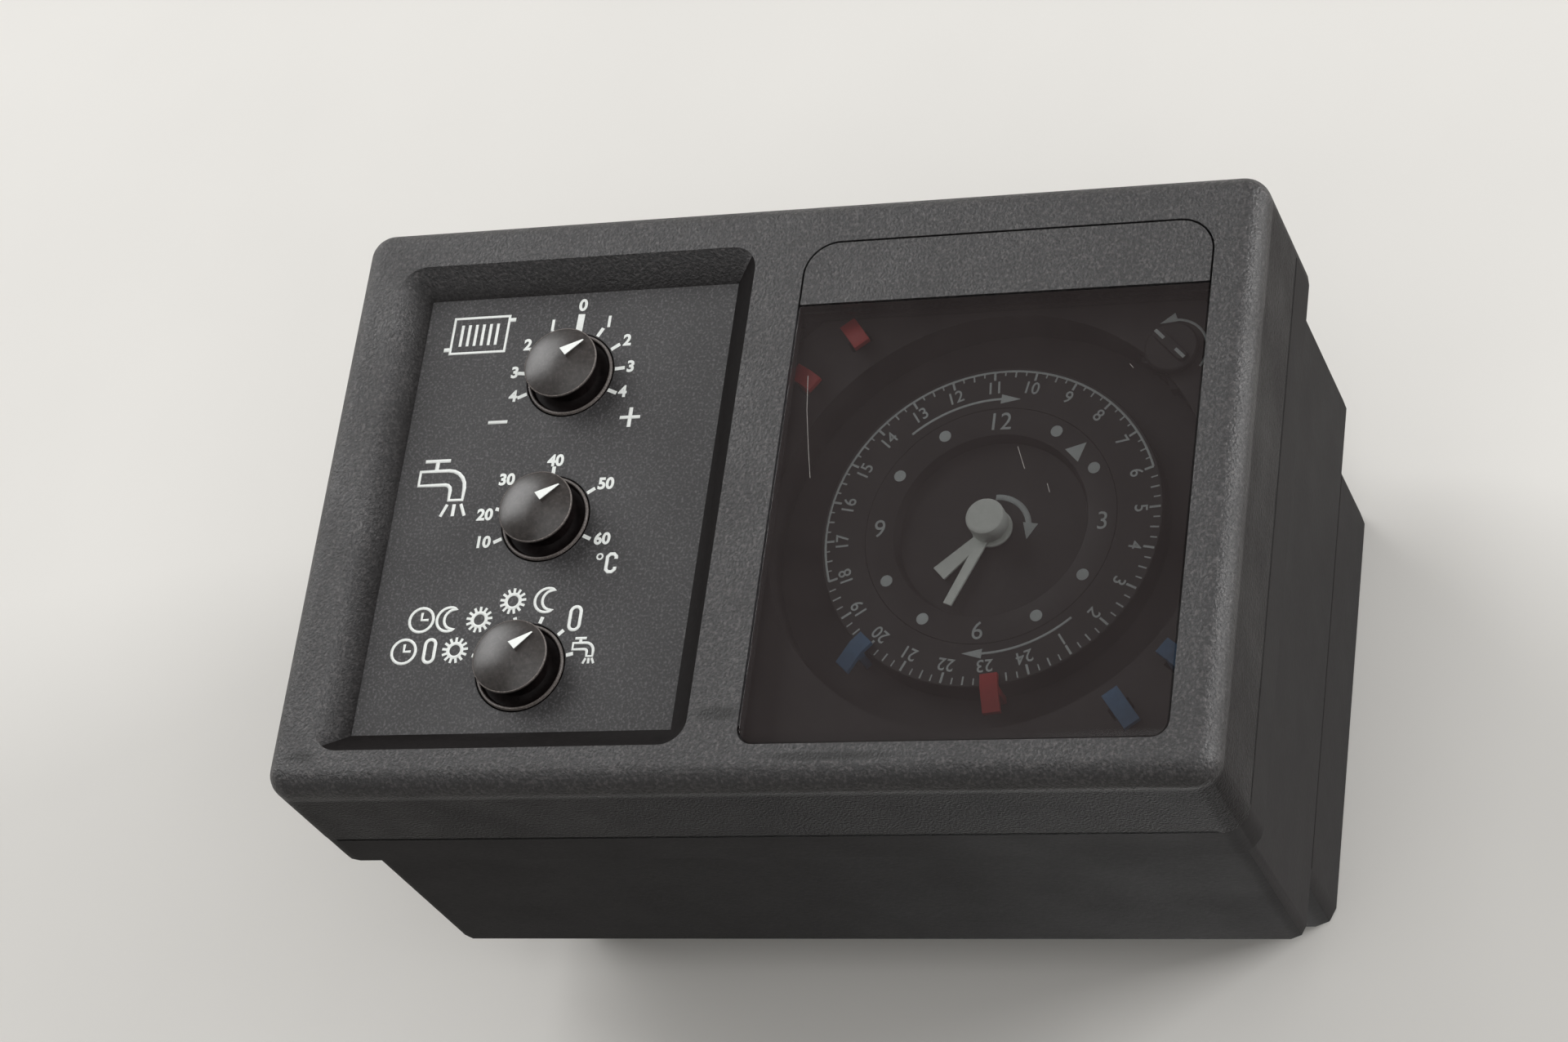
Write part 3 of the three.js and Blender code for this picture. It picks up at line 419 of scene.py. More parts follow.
def second_finish(item, look, test):
    """Gives the faces that pass the test another finish."""
    item.data.materials.append(look)
    pick(item, "faces", test)
    item.active_material_index = 1
    bpy.ops.object.material_slot_assign()
    deselect()


# ---- printing -----------------------------------------------------------------------------
def stroke(points, width, depth, closed=False):
    """Printed line through points of the front view, with flat ends."""
    line = bpy.data.curves.new("stroke", "CURVE")
    line.dimensions = "3D"
    line.bevel_depth = width / 2 * MM
    line.bevel_resolution = 1
    line.use_fill_caps = not closed
    path = line.splines.new("POLY")
    path.points.add(len(points) - 1)
    for knot, (x, y) in zip(path.points, points):
        knot.co = (x * MM, 0, y * MM, 1)
    path.use_cyclic_u = closed
    made = bpy.data.objects.new("stroke", line)
    bpy.context.collection.objects.link(made)
    only(made)
    bpy.ops.object.convert(target="MESH")
    made = bpy.context.object
    made.location = (0, at(0, 0, depth).y, 0)
    made.scale = (1, INK / width, 1)
    return settle(made)


def arc(centre, radius, start, end, count):
    """Points along an arc, angles clockwise from the top."""
    return [polar(centre, radius, start + (end - start) * i / (count - 1)) for i in range(count)]


def tick(centre, angle, inner, outer, width, depth):
    """Printed bar along a radius."""
    deselect()
    x, y = polar(centre, (inner + outer) / 2, angle)
    bpy.ops.mesh.primitive_cube_add(size=1, location=at(x, y, depth),
                                    rotation=(0, math.radians(angle), 0),
                                    scale=(width * MM, INK * MM, (outer - inner) * MM))
    return settle(bpy.context.object)


def spot(x, y, radius, depth, sides=24):
    """Printed dot, or a regular polygon such as an arrowhead."""
    deselect()
    bpy.ops.mesh.primitive_cylinder_add(
        vertices=sides, radius=radius * MM, depth=INK * MM, location=at(x, y, depth),
        rotation=(math.pi / 2, 0, 0))
    return settle(bpy.context.object)


def lettering(text, x, y, height, depth, angle=0.0, weight=0.0, squeeze=1.0):
    """Printed characters, centred on a point and turned clockwise."""
    deselect()
    bpy.ops.object.text_add(rotation=(math.pi / 2, math.radians(angle), 0))
    made = bpy.context.object
    made.data.body = text
    made.data.size = height / FIGURE_SHARE * MM
    made.data.extrude = INK / 2 * MM
    made.data.offset = weight * MM
    made.data.resolution_u = 4
    made.scale = (squeeze, 1, 1)
    bpy.ops.object.convert(target="MESH")
    made = bpy.context.object
    bpy.ops.object.origin_set(type="ORIGIN_GEOMETRY", center="BOUNDS")
    made.location = at(x, y, depth)
    return settle(made)


def arrowhead(x, y, angle, length, width, depth):
    """Printed triangle with its tip at a point, facing an angle clockwise from the top."""
    middle = polar((x, y), -length * 2 / 3, angle)
    made = spot(0, 0, 1.0, depth, sides=3)
    made.scale = (width / math.sqrt(3), 1, length / 1.5)
    made.rotation_euler = (0, math.radians(angle), 0)
    made.location = (middle[0] * MM, 0, middle[1] * MM)
    return settle(made)


def sun(x, y, depth, size=2.1, count=13):
    """Ring with rays."""
    rays = [tick((x, y), 360 / count * i, size * 0.62, size, 0.4, depth) for i in range(count)]
    return [stroke(arc((x, y), size * 0.54, 0, 345, 24), 0.62, depth, closed=True), *rays]


def moon(x, y, depth, size=1.95):
    """Crescent outline, open to the right."""
    outer = arc((x, y), size, 35, -215, 22)
    inner = arc((x + size * 0.446, y), size * 0.83, 171, 369, 14)
    return [stroke(outer + inner[1:-1], 0.5, depth, closed=True)]


def oval(x, y, depth):
    """Upright rounded zero."""
    upper = arc((x, y + 1.05), 0.82, -90, 90, 10)
    lower = arc((x, y - 1.05), 0.82, 90, 270, 10)
    return [stroke(upper + lower, 0.6, depth, closed=True)]


def dial_clock(x, y, depth, size=1.95):
    """Clock pictogram with its hands at three."""
    hands = [(x, y + size * 0.62), (x, y), (x + size * 0.6, y)]
    return [stroke(arc((x, y), size, 0, 345, 24), 0.52, depth, closed=True),
            stroke(hands, 0.45, depth)]


def tap(x, y, depth, size=1.0, width=0.68):
    """Tap pictogram: handle, stem, bent spout and three jets; x, y is the foot of the stem."""
    def grown(points):
        return [(x + size * px, y + size * py) for px, py in points]
    bend = arc((2.1, -3.1), 3.1, 0, 90, 6)
    inner = arc((1.9, -3.4), 1.0, 90, 0, 4)
    spout = [(-2.6, 0.0)] + bend + [(5.2, -5.05), (2.9, -5.05)] + inner + [(-2.6, -2.4)]
    jets = [[(2.85, -5.75), (2.0, -7.75)], [(4.0, -5.75), (4.0, -7.75)],
            [(5.1, -5.75), (6.0, -7.75)]]
    lines = [stroke(grown([(-2.1, 1.7), (2.1, 1.7)]), width, depth),
             stroke(grown([(0.0, 1.7), (0.0, 0.1)]), width, depth),
             stroke(grown(spout), width, depth, closed=True)]
    return lines + [stroke(grown(jet), width * 0.85, depth) for jet in jets]


def radiator(x, y, depth):
    """Radiator pictogram: frame, six ribs and two pipe stubs."""
    w, h, pipe, stub, first, pitch, rib = 4.6, 3.07, 2.35, 1.1, 3.1, 1.19, 1.85
    lines = [stroke([(x - w, y - h), (x + w, y - h), (x + w, y + h), (x - w, y + h)], 0.65,
                    depth, closed=True),
             stroke([(x + w, y + pipe), (x + w + stub, y + pipe)], 0.8, depth),
             stroke([(x - w, y - pipe), (x - w - stub, y - pipe)], 0.8, depth)]
    places = [x - first + pitch * i for i in range(6)]
    return lines + [stroke([(place, y - rib), (place, y + rib)], 0.5, depth) for place in places]


# ---- finishes -----------------------------------------------------------------------------
CLOUDS = (0.3, 0.7)            # range that holds nearly all of a noise pattern


def add_node(tree, kind, inputs=(), **settings):
    """Adds one shader node with its settings; inputs maps sockets to values or to sockets."""
    made = tree.nodes.new(kind)
    for key, value in settings.items():
        setattr(made, key, value)
    for key, value in dict(inputs).items():
        if isinstance(value, bpy.types.NodeSocket):
            tree.links.new(value, made.inputs[key])
        else:
            made.inputs[key].default_value = value
    return made


def new_finish(name, base, roughness, metallic=0.0, **shader):
    """Material with one Principled shader; returns it with its tree, shader and coordinates."""
    made = bpy.data.materials.new(name)
    made.use_nodes = True
    tree = made.node_tree
    surface = tree.nodes["Principled BSDF"]
    surface.inputs["Base Color"].default_value = (*base, 1)
    surface.inputs["Roughness"].default_value = roughness
    surface.inputs["Metallic"].default_value = metallic
    for key, value in shader.items():
        surface.inputs[key.replace("_", " ")].default_value = value
    place = add_node(tree, "ShaderNodeTexCoord").outputs["Object"]
    return made, tree, surface, place


def noise(tree, place, size_mm, detail, roughness=0.5):
    """Value of a cloudy pattern whose patches have a size."""
    return add_node(tree, "ShaderNodeTexNoise", {
        "Vector": place, "Scale": 1 / (size_mm * MM), "Detail": detail,
        "Roughness": roughness}).outputs["Fac"]


def ranged(tree, value, low, high, to_low=0.0, to_high=1.0):
    """A value's share of one range, laid over another."""
    return add_node(tree, "ShaderNodeMapRange", {
        "Value": value, "From Min": low, "From Max": high, "To Min": to_low,
        "To Max": to_high}).outputs[0]


def mixed(tree, share, first, second, blend="MIX"):
    """Two colours mixed by a share of the second."""
    return add_node(tree, "ShaderNodeMix", {0: share, 6: first, 7: second}, data_type="RGBA",
                    blend_type=blend).outputs[2]


def calculated(tree, first, second, operation):
    """Result of a sum on two values."""
    return add_node(tree, "ShaderNodeMath", {0: first, 1: second},
                    operation=operation).outputs[0]


def shade_range(tree, value, dark, light):
    """Colour that runs between two tones as a pattern's value rises."""
    return mixed(tree, ranged(tree, value, *CLOUDS), (*dark, 1), (*light, 1))


def tones(base, spread):
    """A darker and a lighter neighbour of a colour."""
    return [tuple(min(1, c * k) for c in base) for k in (1 - spread, 1 + spread)]


def wire(tree, surface, **outputs):
    """Feeds values to the shader's sockets, which are named with underscores."""
    for key, value in outputs.items():
        tree.links.new(value, surface.inputs[key.replace("_", " ")])


def grained(name, base, roughness, grain_mm, height_mm, spread=0.2, rough_spread=0.1,
            specks_and_glints=0.0, fleck_mm=0.3, smudges=(), front_light_and_wear=None, **shader):
    """Moulded plastic with an even grain: pitted height, and tone and gloss that follow it.

    The share of bright specks is how far they lift the tone: partly dust, partly painted glints.
    Smudges are (x, y, half width, half height) of finger-smeared, greasy places on the front.
    The front tone (tone, depth, run) is the tone of what stands in front of a depth, and the
    length over which it fades: the front is painted lighter than what lies behind it, partly
    wear and partly painted light, with painted shade behind. That front shines more too.
    """
    made, tree, surface, place = new_finish(name, base, roughness, **shader)
    grain = noise(tree, place, grain_mm, 3.0, 0.6)
    broad = noise(tree, place, 14, 4.0)
    wash = ranged(tree, broad, *CLOUDS, 0.94, 1.06)
    gloss = ranged(tree, broad, *CLOUDS, roughness - rough_spread, roughness + rough_spread)
    tone = mixed(tree, 1.0, shade_range(tree, grain, *tones(base, spread)), wash, "MULTIPLY")
    # front painted lighter than the sides behind it: painted light and painted shade, partly wear
    if front_light_and_wear:
        rubbed, depth, run = front_light_and_wear
        across = add_node(tree, "ShaderNodeSeparateXYZ", {0: place}).outputs["Y"]
        front = ranged(tree, across, at(0, 0, depth).y, at(0, 0, depth - run).y)
        tone = mixed(tree, front, tone, shade_range(tree, grain, *tones(rubbed, spread)))
        wire(tree, surface, Specular_IOR_Level=ranged(tree, front, 0.0, 1.0, 0.05, 0.6))
    if specks_and_glints:
        mask = ranged(tree, noise(tree, place, fleck_mm, 3.0), 0.5, 0.7, 0.0, specks_and_glints)
        # the specks stay on the lit front, as painted glints
        if front_light_and_wear:
            mask = calculated(tree, mask, front, "MULTIPLY")
        bright = tuple(min(1, c * 5 + 0.03) for c in base)
        tone = mixed(tree, mask, tone, (*bright, 1))
    for x, y, half_width, half_height in smudges:
        size = (half_width * MM, 4 * MM, half_height * MM)
        local = add_node(tree, "ShaderNodeMapping", {
            "Vector": place, "Scale": tuple(1 / s for s in size),
            "Location": tuple(-c / s for c, s in zip(at(x, y, 0), size))}).outputs[0]
        reach = add_node(tree, "ShaderNodeVectorMath", {0: local}, operation="LENGTH")
        ragged = calculated(tree, reach.outputs["Value"], broad, "ADD")
        tone = mixed(tree, ranged(tree, ragged, 1.6, 1.1), tone, (*tones(base, 0.6)[0], 1))
    bump = add_node(tree, "ShaderNodeBump", {"Height": grain, "Strength": 0.8,
                                             "Distance": height_mm * MM})
    wire(tree, surface, Base_Color=tone, Roughness=gloss, Normal=bump.outputs[0])
    return made


def brushed(name, base, roughness, grain_mm, axis=(1, 1, 14), **shader):
    """Worked metal: fine lines drawn out along one axis, in height and gloss."""
    made, tree, surface, place = new_finish(name, base, roughness, metallic=1.0, **shader)
    drawn = add_node(tree, "ShaderNodeMapping", {
        "Vector": place, "Scale": tuple(1 / k for k in axis)}).outputs[0]
    lines = noise(tree, drawn, grain_mm, 2.0)
    bump = add_node(tree, "ShaderNodeBump", {"Height": lines, "Strength": 0.3,
                                             "Distance": 0.01 * MM})
    wire(tree, surface, Base_Color=shade_range(tree, lines, *tones(base, 0.12)),
         Roughness=ranged(tree, lines, *CLOUDS, roughness - 0.08, roughness + 0.08),
         Normal=bump.outputs[0])
    return made


def spark_eroded_abs(colours, grain):
    """ABS moulded against a spark-eroded tool: dull charcoal grain that sparkles where light
    grazes, its front painted lighter than its sides and specked with painted glints.
    """
    smudges = [(-1, -36.6, 4.2, 1.3), (-66, -42.2, 2.6, 1.0), (16, -43.4, 11, 0.8)]
    return grained("spark_eroded_abs", colours.body, 0.47, grain / MM, 0.3, spread=0.45,
                   specks_and_glints=0.75, fleck_mm=0.55, front_light_and_wear=(colours.charcoal, 4.6, 4.0),
                   smudges=smudges)


def satin_abs(colours):
    """ABS from a plain satin tool: smooth dark body with only a faint orange peel."""
    return grained("satin_abs", colours.body, 0.6, 0.7, 0.03, spread=0.15, rough_spread=0.05,
                   Specular_IOR_Level=0.05)


def screen_printed_plate(colours):
    """Panel of matt polycarbonate film ground: finer and darker than the bezel, with specks that
    are partly dust, partly painted glints.
    """
    return grained("matt_polycarbonate", colours.plate, 0.6, 0.34, 0.06, spread=0.25,
                   rough_spread=0.05, specks_and_glints=0.45, fleck_mm=0.4)


def polished_knob(colours):
    """Polished black ABS with a soft broad highlight and fine wipe marks; its cap is painted
    lighter than the waist and skirt, partly finger wear and dust, partly painted shade.
    """
    return grained("polished_abs", colours.knob, 0.355, 0.8, 0.02, spread=0.35,
                   rough_spread=0.1, specks_and_glints=0.5, fleck_mm=0.5,
                   front_light_and_wear=(linear("2e2a28"), 1.2, 0.8))


def rubbed_knob():
    """The same ABS on the rims of the cap and skirt, painted a lighter grey: a painted highlight
    along these edges, partly wear from handling.
    """
    return grained("rubbed_abs", linear("5c5653"), 0.5, 0.3, 0.01, spread=0.3, specks_and_glints=0.3,
                   fleck_mm=0.2)


def matt_dial(colours):
    """Fine matt ABS of the clock parts, a ground for white print."""
    return grained("matt_abs_dial", colours.dial, 0.55, 0.4, 0.01, spread=0.12)


def screen_ink(name, base):
    """Two-part screen ink: nearly flat white with slightly uneven cover."""
    return grained(name, base, 0.55, 0.25, 0.006, spread=0.06, rough_spread=0.04)


def smoked_polycarbonate(colours):
    """Polished smoked polycarbonate: clear and brown-black, with a hard gloss and wipe haze."""
    made, tree, surface, place = new_finish("smoked_polycarbonate", colours.smoke, 0.12,
                                            IOR=1.58)
    haze = noise(tree, place, 9, 6.0, 0.7)
    wire(tree, surface, Roughness=ranged(tree, haze, 0.35, 0.7, 0.11, 0.17),
         Alpha=ranged(tree, haze, *CLOUDS, 0.31, 0.4))
    return made


def all_finishes(scene):
    """Every finish of the controller, by the name used below."""
    colours = scene.controller_colours
    grain = scene.controller_mouldings.grain
    return {
        "textured": spark_eroded_abs(colours, grain),
        "satin": satin_abs(colours),
        "plate": screen_printed_plate(colours),
        "knob": polished_knob(colours),
        "rubbed": rubbed_knob(),
        "dial": matt_dial(colours),
        "ink": screen_ink("screen_ink_white", colours.ink),
        "dial_ink": screen_ink("pad_print_grey_white", colours.dial_ink),
        "hands": screen_ink("matt_paint_off_white", colours.hands),
        # coloured ABS, moulded and lightly glossy
        "red": grained("red_abs", colours.red, 0.42, 0.5, 0.006, spread=0.08),
        "blue": grained("blue_abs", colours.blue, 0.42, 0.5, 0.006, spread=0.08),
        "smoke": smoked_polycarbonate(colours),
        # hairline wear that catches the light on the flap
        "scratch": grained("scratched_edge", linear("a9a6a2"), 0.6, 0.3, 0.004, Alpha=0.55),
        # rolled brass sheet and cut brass wheels, bright with drawn lines
        "brass": brushed("rolled_brass", linear("c39b4e"), 0.32, 0.12),
        # bright zinc plate over steel
        "zinc": brushed("zinc_plated_steel", linear("b4b6b8"), 0.34, 0.1),
        # bare laminations of a transformer core, oiled and dark
        "laminated": brushed("silicon_steel", linear("7d7a76"), 0.45, 0.35, axis=(14, 14, 1)),
        # glass-epoxy board under green solder resist, the weave just showing
        "board": grained("fr4_solder_resist", linear("24563a"), 0.35, 0.5, 0.01, spread=0.15),
        # natural nylon, milky and slightly waxy
        "nylon": grained("natural_nylon", linear("d6cfbd"), 0.45, 0.7, 0.008, spread=0.05),
        # blue PBT relay case
        "relay": grained("blue_pbt", linear("2f4f86"), 0.38, 0.6, 0.006, spread=0.08),
        # grey PVC ribbon
        "ribbon": grained("grey_pvc", linear("8d8c8a"), 0.5, 0.5, 0.01, spread=0.08),
    }


FINISH = {}


def finish(name):
    """Finish by its short name; all of them are made when the first is asked for."""
    if not FINISH:
        FINISH.update(all_finishes(bpy.context.scene))
    return FINISH[name]


# ---- shells -------------------------------------------------------------------------------
def on_front(place, along):
    """True for edges that lie in the front face of the bezel."""
    return abs(place.z) < 0.01 and abs(along.y) < 0.01


def recess_cutter(front, back):
    """Flared opening round the panel: corners round at the face and sharp at the plate."""
    run = PANEL["bevel"] - front
    width, height = PANEL["width"], PANEL["height"]
    made = rounded_block("recess", PANEL["x"], PANEL["y"], width + 2 * run, height + 2 * run,
                         run, front, back, segments=10)
    for side in (-1, 1):
        for level in (-1, 1):
            pick(made, "verts", lambda place, along: abs(place.z - back) < 0.01
                 and (place.x - PANEL["x"]) * side > 0 and (place.y - PANEL["y"]) * level > 0)
            corner = at(PANEL["x"] + side * width / 2, PANEL["y"] + level * height / 2, back)
            bpy.ops.transform.resize(value=(0, 0, 0), center_override=corner)
    bpy.ops.mesh.select_all(action="SELECT")
    bpy.ops.mesh.remove_doubles(threshold=1e-6)
    bpy.ops.mesh.normals_make_consistent(inside=False)
    deselect()
    return made


def peg(side, radius, reach):
    """Round bar at the flap's hinge, across the gap at one side of the window."""
    deselect()
    bpy.ops.mesh.primitive_cylinder_add(
        vertices=24, radius=radius * MM, depth=2 * reach * MM, rotation=(0, math.pi / 2, 0),
        location=at(WINDOW["x"] + side * WINDOW["width"] / 2, HINGE["y"], HINGE["depth"]))
    return settle(bpy.context.object, "peg")


def window_blank(grow, front, back):
    """Block of the flap's window, larger or smaller all round, with its head and foot radii."""
    made = block("window", WINDOW["x"], WINDOW["y"], WINDOW["width"] + 2 * grow,
                 WINDOW["height"] + 2 * grow, front, back)
    for head, radius in ((True, WINDOW["corner"] + grow), (False, WINDOW["foot"] + grow)):
        round_edges(made, radius, 12, lambda place, along: abs(along.y) > 0.99
                    and abs(abs(place.y - WINDOW["y"]) - WINDOW["height"] / 2 - grow) < 0.01
                    and (place.y > 0) == head)
    return made


class CONTROLLER_OT_bezel(Operator):
    """Front shell with the flared panel opening and the seat of the flap"""
    bl_idname = "controller.bezel"
    bl_label = "Bezel"

    def unrubbed(self, place, along):
        """True on the foot and right-hand bevels of the panel opening, which get the darker satin
        finish as painted shade.
        """
        inside = abs(place.x - PANEL["x"]) < 30 and abs(place.y - PANEL["y"]) < 41
        return inside and abs(along.y + 0.707) < 0.1 and along.z - along.x > 0.1

    def execute(self, context):
        sizes = context.scene.controller_mouldings
        width, height = BEZEL[2], BEZEL[3]
        plate = measured("control_panel_plate")[4] - HAIR
        made = rounded_block("bezel", 0, 0, width, height, sizes.corner / MM, 0, SEAM, 10)
        round_edges(made, sizes.fillet / MM, 8, on_front)
        combine(made, "DIFFERENCE", rounded_block(
            "hollow", 0, 0, width - 2 * WALL, height - 2 * WALL, 1.5, SKIN, SEAM + 1, 3))
        thickenings = (("frame", PANEL["x"], PANEL["y"], 62.0, 83.3, plate),
                       ("head", WINDOW["x"], STRIP_EDGE + 6.5, 66.9, 14.9, WELL_DEPTH),
                       ("foot", WINDOW["x"], WINDOW_FOOT - 0.75, 66.9, 5, WELL_DEPTH),
                       ("rib", -2.6, 0, 1.6, 91.0, 9.0))
        combine(made, "UNION", *[block(name, x, y, wide, high, SKIN - LAP, back)
                                 for name, x, y, wide, high, back in thickenings])
        opening = window_blank(0, -1, WELL_DEPTH + 1)
        combine(opening, "DIFFERENCE", block("ledge", WINDOW["x"], STRIP_EDGE + 7, 66, 14,
                                             WINDOW["depth"], WELL_DEPTH + 2))
        combine(made, "DIFFERENCE",
                recess_cutter(-0.1, plate),
                block("opening", PANEL["x"], PANEL["y"], PANEL["width"] - 0.2,
                      PANEL["height"] - 0.2, plate - LAP, plate + LAP),
                opening, *[peg(side, HINGE["pin"] + 0.2, HINGE["reach"] + 0.3)
                           for side in (-1, 1)],
                *[block("slot", WINDOW["x"] + x, 37.2, 5.2, 2.6, 1, WELL_DEPTH + 1)
                  for x in HOOKS])
        soften(made, sizes.edge)
        dress(made, finish("textured"), "controller", ["front_bezel"])
        # the foot and right-hand bevels of the opening get the darker, duller satin: painted shade
        second_finish(made, finish("satin"), self.unrubbed)
        return {"FINISHED"}


class CONTROLLER_OT_housing(Operator):
    """Housing and rear base, with the edges of their mouldings eased"""
    bl_idname = "controller.housing"
    bl_label = "Housing and rear base"

    def execute(self, context):
        edge = context.scene.controller_mouldings.edge
        for node, name in (("main_housing", "housing"), ("rear_terminal_base", "rear_base")):
            made = copied(frame["nodes"][node])
            made.parent = None
            for key in ("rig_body", "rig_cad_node"):      # the copy is a piece of its own
                if key in made:
                    del made[key]
            settle(made, name)
            bpy.ops.object.mode_set(mode="EDIT")
            bpy.ops.mesh.select_all(action="SELECT")
            bpy.ops.mesh.remove_doubles(threshold=1e-6)
            bpy.ops.mesh.dissolve_limited(angle_limit=math.radians(1))
            soften(made, edge)
            dress(made, finish("satin"), "controller", [node])
        return {"FINISHED"}


# ---- control panel ------------------------------------------------------------------------
class CONTROLLER_OT_panel(Operator):
    """Panel plate with a hole for each knob"""
    bl_idname = "controller.panel"
    bl_label = "Panel plate"

    def execute(self, context):
        x, y, width, height, front, back = measured("control_panel_plate")
        made = block("panel_plate", x, y, width, height, front, back)
        combine(made, "DIFFERENCE", *[
            turned("hole", [(KNOB_HOLE, front - 1), (KNOB_HOLE, back + 1)], KNOB_X, level)
            for _, level, _ in KNOBS])
        soften(made, 0.2 * MM)
        dress(made, finish("plate"), "controller", ["control_panel_plate"])
        return {"FINISHED"}


MARK = 0.58                    # width of the marks round a knob
MARK_FOOT = 7.3                # and the radius they start from
SIGN = 0.65                    # width of the lines of a plus or a minus


def knob_marks(centre, angles, outer, depth):
    """Marks of a knob's scale, out to a radius."""
    return [tick(centre, angle, MARK_FOOT, outer, MARK, depth) for angle in angles]


def figures(texts, places, depth, height=1.9):
    """Figures of a knob's scale."""
    return [lettering(str(text), *place, height, depth, weight=0.1)
            for text, place in zip(texts, places)]


def curve_print(depth):
    """Scale of the heating curve knob, with its radiator."""
    centre = (KNOB_X, KNOBS[0][1])
    marks = radiator(-51.5, 29.68, depth)
    marks.append(tick(centre, 1.4, 7.5, 10.5, 1.1, depth))
    marks += figures("0", [(-34.8, 33.9)], depth, height=2.0)
    angles = [side * angle for angle in (28.4, 56.8, 85.2, 113.6) for side in (1, -1)]
    marks += knob_marks(centre, angles, 8.9, depth)
    right = [(-30.0, 30.75), (-26.5, 27.35), (-25.25, 22.75), (-25.9, 18.5)]
    left = [(-39.35, 30.65), (-43.0, 27.5), (-44.4, 22.75), (-44.0, 18.65)]
    for side in (right, left):
        marks += figures(range(1, 5), side, depth)
    minus = ((-47.4, 14.25), (-44.2, 14.25))
    plus = (((-25.65, 14.0), (-22.35, 14.0)), ((-24.0, 12.35), (-24.0, 15.65)))
    return marks + [stroke(line, SIGN, depth) for line in (minus, *plus)]


def water_print(depth):
    """Scale of the hot water knob in degrees Celsius, with its tap."""
    marks = tap(-54.6, 6.3, depth)
    marks += knob_marks((KNOB_X, KNOBS[1][1]), (-115, -77, -38, 0, 57, 115), 8.7, depth)
    places = [(-44.5, -6.0), (-45.15, -1.4), (-42.5, 4.4), (-35.0, 7.25), (-26.1, 3.0),
              (-25.25, -6.15)]
    marks += figures(range(10, 70, 10), places, depth)
    marks.append(stroke(arc((-25.15, -9.15), 0.45, 0, 330, 12), 0.32, depth, closed=True))
    squared_c = [(-22.5, -9.6), (-22.5, -9.2), (-22.9, -8.8), (-23.5, -8.8), (-23.9, -9.2),
                 (-23.9, -11.3), (-23.5, -11.7), (-22.9, -11.7), (-22.5, -11.3), (-22.5, -10.9)]
    return marks + [stroke(squared_c, 0.62, depth)]


def mode_print(depth):
    """Pictograms of the six ways of running, round the mode knob."""
    marks = knob_marks((KNOB_X, KNOBS[2][1]), (76, 46, 16, -15, -45, -75), 8.4, depth)
    for sign, x, y in ((sun, -38.0, -16.0), (moon, -32.5, -16.0), (oval, -27.5, -19.1),
                       (dial_clock, -52.5, -18.65), (moon, -48.0, -18.65), (sun, -43.0, -18.85),
                       (dial_clock, -54.5, -23.75), (oval, -50.25, -23.75),
                       (sun, -46.1, -23.75)):
        marks += sign(x, y, depth)
    return marks + tap(-26.0, -23.1, depth, size=0.43, width=0.5)


class CONTROLLER_OT_panel_print(Operator):
    """Printed scales and pictograms of the panel"""
    bl_idname = "controller.panel_print"
    bl_label = "Panel printing"

    def execute(self, context):
        depth = measured("control_panel_plate")[4]
        made = joined("panel_print", curve_print(depth) + water_print(depth) + mode_print(depth))
        dress(made, finish("ink"), "controller")
        return {"FINISHED"}


def wedge(name, half, front, back, inner=1.25, outer=4.85, fall=0.9):
    """Pointer that narrows and falls towards the rim of a knob; it faces up at the origin."""
    made = block(name, 0, (inner + outer) / 2, 2 * half, outer - inner, front, back)
    pick(made, "verts", lambda place, along: place.y > outer - 0.01)
    bpy.ops.transform.resize(value=(0.1, 1, 1), center_override=at(0, outer, front))
    bpy.ops.transform.translate(value=(0, fall * MM, 0))
    deselect()
    return made


def moved(item, x, y, angle):
    """Turns a piece made at the origin and moves it into place."""
    item.rotation_euler = (0, math.radians(angle), 0)
    item.location = (x * MM, 0, y * MM)
    return settle(item)


class CONTROLLER_OT_knobs(Operator):
    """Three domed knobs with their white pointers"""
    bl_idname = "controller.knobs"
    bl_label = "Knobs and pointers"

    # radius and depth from the rim of the cap, through the waist, to the back of the hub
    CAP = [(5.66, -0.1), (5.74, -0.14), (5.82, -0.08), (5.85, 0.06), (5.83, 0.3), (5.6, 0.55),
           (5.0, 0.85), (4.5, 1.3), (4.27, 1.8), (4.25, 2.4), (4.3, 3.2), (4.6, 3.9),
           (5.3, 4.35), (6.1, 4.4), (6.3, 4.2), (6.42, 3.85), (6.56, 3.68), (6.74, 3.68),
           (6.86, 3.82), (6.9, 4.05), (6.9, 5.9), (4.6, 5.9), (4.6, 7.5)]

    def rubbed(self, place, y):
        """True on the rim of the cap and on the lip of the skirt, which get the lighter grey: a
        painted highlight, partly wear.
        """
        radius = math.hypot(place.x - KNOB_X, place.y - y)
        return place.z < 0.1 and radius > 5.6 or place.z < 4.0 and radius > 6.3

    def execute(self, context):
        rise, radius, crown = 1.3, 5.72, -1.38
        sphere = (radius ** 2 + rise ** 2) / (2 * rise)
        dome = [(r, crown + sphere - math.sqrt(sphere ** 2 - r * r))
                for r in (0.5, 1.5, 2.5, 3.5, 4.3, 5.0, 5.5)]
        blank = turned("knob", dome + self.CAP, 0, 0, steps=96, crown=crown)
        ridge = wedge("ridge", 0.98, -1.84, -0.3)
        blank = smooth(combine(blank, "UNION", ridge))
        pointer = soften(wedge("pointer", 0.8, -2.0, -1.82), 0.04 * MM, 1)
        for name, y, angle in KNOBS:
            for master, part, look, slot in ((blank, "knob", "knob", "black_plastic"),
                                             (pointer, "pointer", "ink", "white_plastic")):
                made = moved(copied(master), KNOB_X, y, angle)
                called(made, f"{name}_{part}_moulding")
                dress(made, finish(look), f"{name}_control", [f"{name}_{part}"])
                if part == "knob":
                    # the rims get the lighter grey finish: painted highlight, partly wear
                    second_finish(made, finish("rubbed"),
                                  lambda place, along: self.rubbed(place, y))
        for master in (blank, pointer):
            bpy.data.objects.remove(master)
        return {"FINISHED"}


